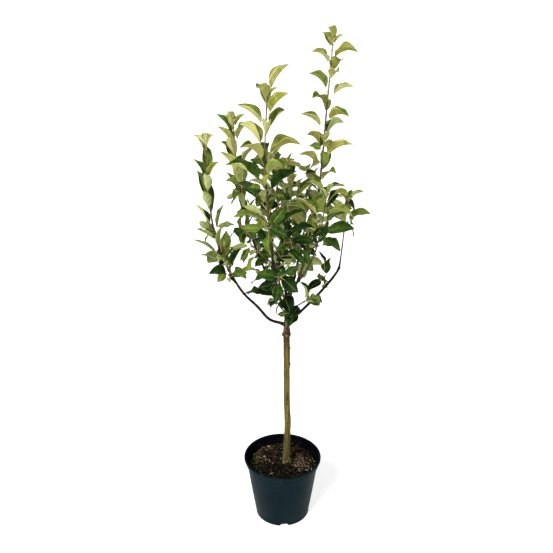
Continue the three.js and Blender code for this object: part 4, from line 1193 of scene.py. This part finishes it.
def make_trunk():
    heights = np.arange(TRUNK_BOTTOM, TRUNK.fork[2] + TRUNK_RING, TRUNK_RING)
    z, angle = np.meshgrid(heights, turns_round(TRUNK_SIDES), indexing="ij")
    girth = TRUNK_GIRTH
    round_trunk = np.stack([np.cos(angle) * girth, np.sin(angle) * girth, z], axis=-1)
    foot = np.exp(-np.maximum(0, z - MIX.level) / ROOT_HEIGHT)
    lobes = sum(size * bell(apart(angle, math.radians(degrees)), 0.42) for degrees, size in ROOTS)
    knobs = lattice_noise(round_trunk, 9, 4) * 1.7 + lattice_noise(round_trunk, 5, 5) * 0.6
    above = smooth(z, 655, 700)
    radius = trunk_radius(np.maximum(z, MIX.level - 4)) + foot * lobes
    radius += 1.2 * bell(z - TRUNK.knuckle, ROUGH_SPREAD) * knobs
    radius += 0.8 * lattice_noise(round_trunk, (14, 14, 34), 6)
    radius += (0.22 + 0.14 * above) * lattice_noise(round_trunk, (2.2, 2.2, 16), 7)
    radius += 0.16 * lattice_noise(round_trunk, (1.3, 1.3, 5), 8)
    wrinkles = lattice_noise(round_trunk, (9, 9, 1.9), 9)
    rough = bell(z - TRUNK.knuckle - 2, ROUGH_SPREAD)
    radius += wrinkles * (0.1 + 0.85 * rough + 0.35 * above)
    # painted shade: the wrinkles' hollows are marked, and the bark's material darkens the marks
    mark = 0.9 * smooth(-wrinkles, 0.15, 0.6) * np.clip(rough + 0.5 * above, 0, 1)
    for height, degrees in SCARS:
        around = apart(angle, math.radians(degrees)) * girth
        far = np.hypot(around, (z - height) * 1.15)
        radius += 2.7 * bell(far, 3.8) - 1.1 * bell(np.hypot(around, z - height - 0.6), 1.3)
        radius += 0.5 * bell(z - height + 3.4, 1.1) * bell(around, 4.5)
        mark = np.maximum(mark, 0.85 * bell(far, 2.0))
    random = Seeded(77)
    for _ in range(LENTICELS):
        height, at = mix(MIX.level + 10, LENTICEL_TOP, random()), random() * FULL_TURN
        wide = mix(1.0, 2.3, random())
        radius += 0.32 * bell(apart(angle, at) * girth, wide) * bell(z - height, 0.9)
    degrees, height = WOUND
    wound = np.hypot(apart(angle, math.radians(degrees)) * 10, z - height)
    radius += 1.5 * bell(wound - 4.6, 1.6) - 1.2 * bell(wound, 3.2)
    mark = np.maximum(mark, 0.7 * bell(wound, 3))
    centre = trunk_axis(heights)
    centre[:, 0] += FOOT_SHIFT[0] * bell(heights - MIX.level, FOOT_SHIFT[1])
    ways = np.stack([np.cos(angle), np.sin(angle), np.zeros_like(z)], axis=-1)
    pile = Pile()
    skin(pile, centre[:, None] + ways * radius[..., None], [centre[0], centre[-1] + vec(0, 0, 3)],
         mark=np.append(mark.ravel(), [0, 0]))
    line = bezier(*(trunk_axis(STUB_HEIGHT) + vec(*place) for place in STUB), 14)
    tube(pile, line, mix(2.6, 0.9, np.linspace(0, 1, 14)), 10, mark=0.8)
    line = bezier(*(vec(*place) for place in THIN_ROOT), 16)
    tube(pile, line, mix(3.2, 1.8, np.linspace(0, 1, 16)), 12, mark=0.1)
    pile.make("trunk_bark", [trunk_bark], ["trunk"], "bark_trunk")

# ---------------------------------------------------------------- pot

POT_SIDES = 192
POT_CREASE = 38  # degrees between faces, beyond which an edge of the pot is sharp
UNDERSIDE = [(30, 3.0), (62, 3.0), (66, 0.0), (76, 0.0)]  # radius and height: hollow inside a flat ring
BELLY = 0.5  # how far the wall bulges halfway up


def turned(pile, profile, sides, finishes, wobble):
    """A profile of radius and height turned round the Z axis, closed at its ends. Each row has a finish."""
    profile = np.asarray(profile, float)
    turn = turns_round(sides)
    height = profile[:, 1][:, None]
    radius = profile[:, 0][:, None] * (1 + wobble * np.cos(2 * turn + 0.7) * smooth(height, 100, 200))
    rings = np.stack([radius * np.cos(turn), radius * np.sin(turn), np.broadcast_to(height, radius.shape)],
                     axis=-1)
    skin(pile, rings, [(0, 0, profile[0, 1]), (0, 0, profile[-1, 1])], np.repeat(finishes, sides))


def arc(centre, radius, start, end, steps):
    turn = np.radians(np.linspace(start, end, steps))
    return [(centre[0] + radius * math.cos(t), centre[1] + radius * math.sin(t)) for t in turn]


def pot_profile():
    """From the middle of the underside out, up the wall and over the rim, and then down the inside."""
    step, rim = POT.height - POT.collar_height, POT.height - POT.rim_height
    foot, top, lip, bend = POT.foot_radius, POT.wall_top, POT.rim_radius, POT.foot_round
    collar_foot, collar_top, inner = POT.collar_foot, POT.collar_top, POT.wall_top - POT.wall
    outside = UNDERSIDE + arc((foot - bend, bend), bend, -90, 8, 6)
    outside += [(mix(foot, top, s) + BELLY * math.sin(math.pi * s), mix(9, step - POT.shoulder, s))
                for s in np.linspace(0, 1, 16)]
    outside += [(top + 0.4, step - 2.6), (top + 1.6, step - 1.4), (collar_foot - 0.7, step - 0.7),
                (collar_foot, step + 0.4)]
    outside += [(mix(collar_foot, collar_top, s), mix(step + 0.4, rim - 1, s)) for s in (0.15, 0.5, 0.85, 1)]
    outside += [(collar_top + 0.8, rim - 0.6), (lip - 0.9, rim - 0.2), (lip - 0.2, rim + 0.5),
                (lip, rim + 1.6), (lip, rim + 3.6)]
    outside += arc((lip - 2.1, POT.height - 2.1), 2.1, 5, 90, 5)
    outside += arc((lip - 4.2, POT.height - 1.8), 1.8, 80, 180, 5)
    inside = [(collar_top - 2.4, rim - 3), (collar_foot - 2, step + 2), (inner + 0.4, step - 2)]
    inside += [(mix(inner, foot - POT.wall - 0.4, s), mix(step - 4, 10, s)) for s in np.linspace(0, 1, 6)]
    return outside, inside + [(foot - 5, 6), (66, 6.4), (30, 6.4)]


def cut(piece, cutter):
    """The piece less the cutter, as the piece's own mesh."""
    modifier = piece.modifiers.new("cut", "BOOLEAN")
    modifier.object, modifier.operation, modifier.solver = cutter, "DIFFERENCE", "EXACT"
    graph = bpy.context.evaluated_depsgraph_get()
    mesh = bpy.data.meshes.new_from_object(piece.evaluated_get(graph))
    piece.modifiers.clear()
    piece.data = mesh
    bpy.data.objects.remove(cutter)


def notch_cutter():
    """Wedges with sloping sides for the drain cut-outs in the pot's bottom edge."""
    pile = Pile()
    wide, narrow, high = NOTCH.foot_width / 2 + 1, NOTCH.top_width / 2, NOTCH.height
    below, bevel, inset = -2, 1.6, 2.2
    section = [(-wide, below), (wide, below), (narrow, high - bevel), (narrow - inset, high),
               (inset - narrow, high), (-narrow, high - bevel)]
    count = len(section)
    ring = np.arange(count)
    after = (ring + 1) % count
    around = np.stack([ring, after, after + count, ring + count], axis=-1)
    ends = np.array([[0, corner, corner + 1] for corner in range(1, count - 1)])
    for n in range(NOTCH.count):
        turn = math.radians(NOTCH.turn + 360 * n / NOTCH.count)
        out, side = vec(*polar(1, turn), 0), vec(-math.sin(turn), math.cos(turn), 0)
        near, far = POT.foot_radius - NOTCH.depth, POT.foot_radius + 10
        points = [out * reach + side * x + UP * z for reach in (near, far) for x, z in section]
        pile.add(points, [around, np.vstack([ends[:, ::-1], ends + count])])
    return pile.make("cutter", [])


def make_pot():
    outside, inside = pot_profile()
    pile = Pile()
    # the inside's rows take the second finish, near black: painted shade
    turned(pile, outside + inside, POT_SIDES, [0] * (len(outside) - 1) + [1] * len(inside), wobble=0.0022)
    piece = pile.make("pot_shell", [pot_finish(), pot_lining()], ["pot"], "pot")
    cut(piece, notch_cutter())
    sharpen(piece.data, math.radians(POT_CREASE))

# ---------------------------------------------------------------- potting mix

MIX_RINGS = 96
MIX_SIDES = 264
MIX_REACH = 105.6  # its top ends this far from the middle, just inside the pot's wall
MIX_BANK = (9, 10, 80)  # it lies this much higher behind the trunk, from one Y to another
MIX_MOUND = (7, 26)  # the mound round the trunk: height and spread
MIX_SKIRT = ((MIX_REACH - 2.4, 156), (84.6, 14), (79, 12), (40, 12))  # radius and height, under its top
MIX_LUMPS = ((2.8, 26, 11), (3.2, 11, 12), (2.2, 5, 13), (1.2, 2.6, 14))  # height, width and seed of each


def mix_height(points):
    """Height of the mix's top at many places: level, lower at the wall, with a heap at the front rim."""
    x, y = points[..., 0], points[..., 1]
    far = np.hypot(x, y) / MIX_REACH
    heap_x, heap_y = polar(HEAP.radius, math.radians(HEAP.turn))
    heap = HEAP.height * np.exp(-(((x - heap_x) ** 2 + (y - heap_y) ** 2) / HEAP.spread ** 2))
    stem = np.hypot(x - TRUNK.foot[0], y - TRUNK.foot[1])
    flat = np.stack([x, y, np.zeros_like(x)], axis=-1)
    rough = sum(size * lattice_noise(flat, width, seed) for size, width, seed in MIX_LUMPS)
    calm = 1 - 0.6 * bell(stem, 14)
    high, near, back = MIX_BANK
    bank = high * smooth(y, near, back)
    mound, width = MIX_MOUND
    return (MIX.level - MIX.dip - MIX.edge_drop * far**3 + heap + bank + mound * bell(stem, width)
            + rough * calm)


def make_mix():
    turn = turns_round(MIX_SIDES)
    reach = MIX_REACH * np.linspace(0, 1, MIX_RINGS + 1)[1:]
    top = np.stack([reach[:, None] * np.cos(turn), reach[:, None] * np.sin(turn),
                    np.zeros((MIX_RINGS, MIX_SIDES))], axis=-1)
    jitter = np.stack([lattice_noise(top, 3.1, 15), lattice_noise(top, 3.1, 16)], axis=-1)
    jitter[-1] = 0
    top[..., :2] += jitter * 0.5
    top[..., 2] = mix_height(top)
    skirts = [np.stack([radius * np.cos(turn), radius * np.sin(turn), np.full(MIX_SIDES, float(z))], axis=-1)
              for radius, z in MIX_SKIRT]
    peak = mix_height(np.zeros((1, 3)))[0]
    pile = Pile()
    skin(pile, np.concatenate([top, skirts]), [(0, 0, peak), (0, 0, MIX_SKIRT[-1][1])], outward=False)
    pile.make("mix_bed", [mix_finish()], ["potting_mix"], "potting_mix")


CHIP_KINDS = [
    chip_finish("chip_brown", (21, 17, 13), (64, 52, 39)),
    chip_finish("chip_red", (58, 37, 27), (104, 72, 52)),
    chip_finish("chip_dark", (7, 6, 5), (27, 23, 20)),
    chip_finish("chip_tan", (82, 67, 49), (130, 110, 82)),
    chip_finish("chip_pale", (124, 112, 88), (176, 164, 136)),
    chip_finish("fibre_tan", (70, 53, 33), (122, 98, 66)),
    chip_finish("moss_green", (44, 58, 20), (94, 112, 44)),
    chip_finish("chip_pink", (112, 74, 54), (166, 122, 92)),
]
BROWN, RED, DARK, TAN, PALE, FIBRE, MOSS_GREEN, ROSE = range(len(CHIP_KINDS))
MOSTLY_DARK = (DARK, DARK, DARK, BROWN, DARK)
# Shapes of litter: its width and thickness as shares of its length, and how high its middle lies.
SCATTERED = Named(widths=(0.32, 0.75), thicknesses=(0.1, 0.26), above=0.06)
FLAKE = Named(widths=(0.32, 0.75), thicknesses=(0.1, 0.26), above=0.2)
LUMP = Named(widths=(0.6, 1), thicknesses=(0.45, 0.8), above=0.16)
CRUMB = Named(widths=(0.5, 1), thicknesses=(0.3, 0.7))
CHIP = Named(count=1150, smallest=1.6, largest=11, reach=103.5, patch_reach=101,
             kinds=(BROWN, DARK, RED, DARK, TAN, DARK, DARK, BROWN, DARK, DARK, BROWN, DARK, PALE))
DARK_FRONT = Named(centre_y=-75, spread=(55, 50))  # scattered chips are all dark here
CHIP_ROWS = (-0.5, -0.3, 0.02, 0.34, 0.5)
CHIP_SIDES = 6
# Where one kind of litter lies thick: its middle, spread, number, sizes, kinds and shape.
PATCHES = [
    Named(centre=(0, -62), spread=(32, 40), count=400, sizes=(2.5, 9), shape=LUMP,
          kinds=(DARK, DARK, DARK, DARK, BROWN)),
    Named(centre=(12, -20), spread=(13, 9), count=90, sizes=(3, 9), shape=LUMP, kinds=MOSTLY_DARK),
    Named(centre=(-50, -16), spread=(24, 20), count=220, sizes=(2, 7), shape=LUMP, kinds=MOSTLY_DARK),
    Named(centre=(57, 6), spread=(21, 30), count=520, sizes=(1.5, 4.6), shape=FLAKE,
          kinds=(TAN, PALE, RED, ROSE, PALE)),
    Named(centre=(-56, 72), spread=(22, 22), count=150, sizes=(1.5, 6), shape=FLAKE,
          kinds=(TAN, RED, TAN, BROWN, FIBRE)),
    Named(centre=(-76, 30), spread=(18, 26), count=170, sizes=(1.2, 3.4), shape=FLAKE,
          kinds=(PALE, TAN, MOSS_GREEN, PALE, FIBRE)),
]
# Single chips that stand out: x, y, size and kind.
LONE_CHIPS = (
    (-78, 34, 5, PALE), (104, 20, 7, PALE), (-42, 87, 11, PALE), (-37, -55, 9, TAN), (30, -70, 12, RED),
    (62, 40, 13, BROWN), (-20, 60, 12, TAN), (70, -50, 9, DARK), (-68, -40, 11, RED), (10, -52, 8, TAN))
SPLINTER = ((-47, -61, 1), (-41, -57, 3.2), (-35, -52, 3), (-28, -47, 1.4))  # x, y and height over the mix
FIBRES = Named(count=190, reach=100, held=103, lengths=(5, 24), steps=8)
MOSS = Named(tufts=120, strands=5, left=(150, 200), radius=(76, 102.5), heights=(1.6, 3.6))
RIM_CRUMBS = Named(count=70, turn=(-113, -80), radius=(104, 119.4), sizes=(1.5, 6), on_rim=114, lowest=190,
                   kinds=(BROWN, DARK, DARK, DARK, DARK))


def signed_power(x, power):
    return np.sign(x) * abs(x) ** power


def chip(pile, random, centre, size, kind, shape):
    """A rough flake: a bent, tapered slab with broken ends, lying nearly flat."""
    length, width, thick = size, size * mix(*shape.widths, random()), size * mix(*shape.thicknesses, random())
    turn, tip, roll = random() * FULL_TURN, spread(0.45, random()), spread(0.6, random())
    along = vec(math.cos(turn) * math.cos(tip), math.sin(turn) * math.cos(tip), math.sin(tip))
    side = unit(np.cross(UP, along))
    side, face = rolled(side, np.cross(along, side), math.cos(roll), math.sin(roll))
    rings = []
    for s in CHIP_ROWS:
        full = 1 - (abs(s) * 1.9) ** 3 * 0.75
        bend = thick * 0.6 * math.sin(s * 3)
        ring = []
        for n in range(CHIP_SIDES):
            t = (n + 0.5) / CHIP_SIDES * FULL_TURN
            wide = width / 2 * full * (1 + spread(0.22, random())) * signed_power(math.cos(t), 0.7)
            tall = thick / 2 * full * (1 + spread(0.3, random())) * signed_power(math.sin(t), 0.7)
            middle = centre + along * length * (s + spread(0.03, random()))
            ring.append(middle + side * wide + face * (tall + bend))
        rings.append(ring)
    rings = np.array(rings)
    skin(pile, rings, [rings[0].mean(axis=0), rings[-1].mean(axis=0)], kind)


def on_mix(x, y, above=0.0, reach=math.inf):
    """A place this far over the mix, drawn in towards the middle where it lies further out than `reach`."""
    held = min(1, reach / max(1e-6, math.hypot(x, y)))
    x, y = x * held, y * held
    return vec(x, y, float(mix_height(np.array([[x, y, 0.0]]))[0]) + above)


def make_litter():
    """Bark chips, fibres, grains and moss on the mix, and the crumbs of the heap on the rim."""
    random = Seeded(404)
    chips, fibres, moss = Pile(), Pile(), Pile()
    for _ in range(CHIP.count):
        x, y = polar(CHIP.reach * math.sqrt(random()), random() * FULL_TURN)
        size = mix(CHIP.smallest, CHIP.largest, random() ** 2.6)
        kind = CHIP.kinds[int(random() * len(CHIP.kinds))]
        across, deep = DARK_FRONT.spread
        if math.hypot(x / across, (y - DARK_FRONT.centre_y) / deep) < 1:
            kind = DARK
        chip(chips, random, on_mix(x, y, size * SCATTERED.above), size, kind, SCATTERED)
    for patch in PATCHES:
        for _ in range(patch.count):
            turn, far = random() * FULL_TURN, math.sqrt(-math.log(1 - 0.95 * random()))
            x = patch.centre[0] + patch.spread[0] * far * math.cos(turn)
            y = patch.centre[1] + patch.spread[1] * far * math.sin(turn)
            size = mix(*patch.sizes, random() ** 1.7)
            kind = patch.kinds[int(random() * len(patch.kinds))]
            place = on_mix(x, y, size * patch.shape.above, CHIP.patch_reach)
            chip(chips, random, place, size, kind, patch.shape)
    for x, y, size, kind in LONE_CHIPS:
        chip(chips, random, on_mix(x, y, 1.2), size, kind, FLAKE)
    # a pale splinter of wood
    steps = 12
    splinter = bezier(*(on_mix(*place) for place in SPLINTER), steps)
    tube(fibres, splinter, 1.5 * np.sin(np.linspace(0.25, 2.9, steps)) + 0.3, 7, PALE)
    for _ in range(FIBRES.count):
        x, y = polar(FIBRES.reach * math.sqrt(random()), random() * FULL_TURN)
        way = random() * FULL_TURN
        length, curl = mix(*FIBRES.lengths, random() ** 1.6), spread(0.7, random())
        line = []
        shares = np.linspace(0, 1, FIBRES.steps)
        for s in shares:
            east, north = polar(length * s, way + curl * s)
            arch = 1.6 * math.sin(s * 3.1) * random()
            line.append(on_mix(x + east, y + north, 0.5, FIBRES.held) + UP * arch)
        tube(fibres, line, 0.34 - 0.1 * shares, 5, FIBRE if random() < 0.8 else TAN)
    for _ in range(MOSS.tufts):
        on_left = random() < 0.6
        turn = math.radians(mix(*MOSS.left, random())) if on_left else random() * FULL_TURN
        base = on_mix(*polar(mix(*MOSS.radius, random()), turn))
        for _ in range(MOSS.strands):
            lean = vec(spread(1, random()), spread(1, random()), 1.2)
            tip = base + unit(lean) * mix(*MOSS.heights, random())
            tube(moss, np.linspace(base, tip, 4), np.array([0.55, 0.6, 0.45, 0.2]), 5, MOSS_GREEN)
    for _ in range(RIM_CRUMBS.count):
        turn = math.radians(mix(*RIM_CRUMBS.turn, random()))
        far = mix(*RIM_CRUMBS.radius, random() ** 0.7)
        x, y = polar(far, turn)
        level = POT.height + 0.4 if far > RIM_CRUMBS.on_rim else max(on_mix(x, y)[2], RIM_CRUMBS.lowest)
        size = mix(*RIM_CRUMBS.sizes, random() ** 1.8)
        kind = RIM_CRUMBS.kinds[int(random() * len(RIM_CRUMBS.kinds))]
        chip(chips, random, vec(x, y, level), size, kind, CRUMB)
    for pile, name in ((chips, "mix_chips"), (fibres, "mix_fibres"), (moss, "mix_moss")):
        pile.make(name, CHIP_KINDS, ["potting_mix"], "potting_mix")

# ---------------------------------------------------------------- the plant, in the source's order

crown = Crown()
grown = {}
for limb in LIMBS:
    grown[limb.name] = grow_mass(crown, limb) if limb.bare < 1 else ([], [])
for limb in LIMBS:
    twigs, leaves = grown[limb.name]
    if limb.bare < 1:
        fine_twigs, fine_leaves = grow_fine(crown, limb)
        make_mass(limb, twigs, leaves, fine_twigs, fine_leaves)
        twigs = twigs + fine_twigs
    make_limb(limb, twigs, leaves)
make_trunk()
make_pot()
make_mix()
make_litter()

# ---------------------------------------------------------------- floor, light and camera

FLOOR_REACH = 1e5
corners = [(x * FLOOR_REACH, y * FLOOR_REACH, 0) for x, y in ((-1, -1), (1, -1), (1, 1), (-1, 1))]
floor_mesh = Pile()
floor_mesh.add(corners, np.array([[0, 1, 2, 3]]))
floor_white = plain("floor_white", (216, 216, 216), 0.9,
                    **{"Emission Color": (1, 1, 1, 1), "Emission Strength": 0.67})
floor = floor_mesh.make("floor", [floor_white])


def sun(name, strength, size, pitch, turn):
    """A soft sun, by its size in the sky, how far it stands from straight overhead and round to one side."""
    light = bpy.data.lights.new(name, "SUN")
    light.energy, light.angle = strength, math.radians(size)
    lamp = bpy.data.objects.new(name, light)
    lamp.rotation_euler = (math.radians(pitch), 0, math.radians(turn))
    bpy.context.scene.collection.objects.link(lamp)


sun("key", strength=3.9, size=24, pitch=50, turn=-34)
sun("fill", strength=0.8, size=60, pitch=66, turn=48)
world = bpy.context.scene.world or bpy.data.worlds.new("studio")
bpy.context.scene.world = world
world.use_nodes = True
sky = world.node_tree.nodes["Background"]
sky.inputs["Color"].default_value = (1, 1, 1, 1)
# the backdrop is white, as the floor is, but it lights the plant less
seen = world.node_tree.nodes.new("ShaderNodeLightPath")
strength = world.node_tree.nodes.new("ShaderNodeMapRange")
strength.inputs["To Min"].default_value = 0.28
world.node_tree.links.new(seen.outputs["Is Camera Ray"], strength.inputs["Value"])
world.node_tree.links.new(strength.outputs["Result"], sky.inputs["Strength"])
bpy.context.scene.view_settings.view_transform = "Standard"

lens = bpy.data.cameras.new("view")
lens.lens, lens.sensor_width, lens.clip_end = 48.56, 36, 80
camera = bpy.data.objects.new("view", lens)
camera.location = (-0.0188, -1.952, 1.625)
camera.rotation_euler = (math.radians(67.48), 0, 0)
bpy.context.scene.collection.objects.link(camera)
bpy.context.scene.camera = camera
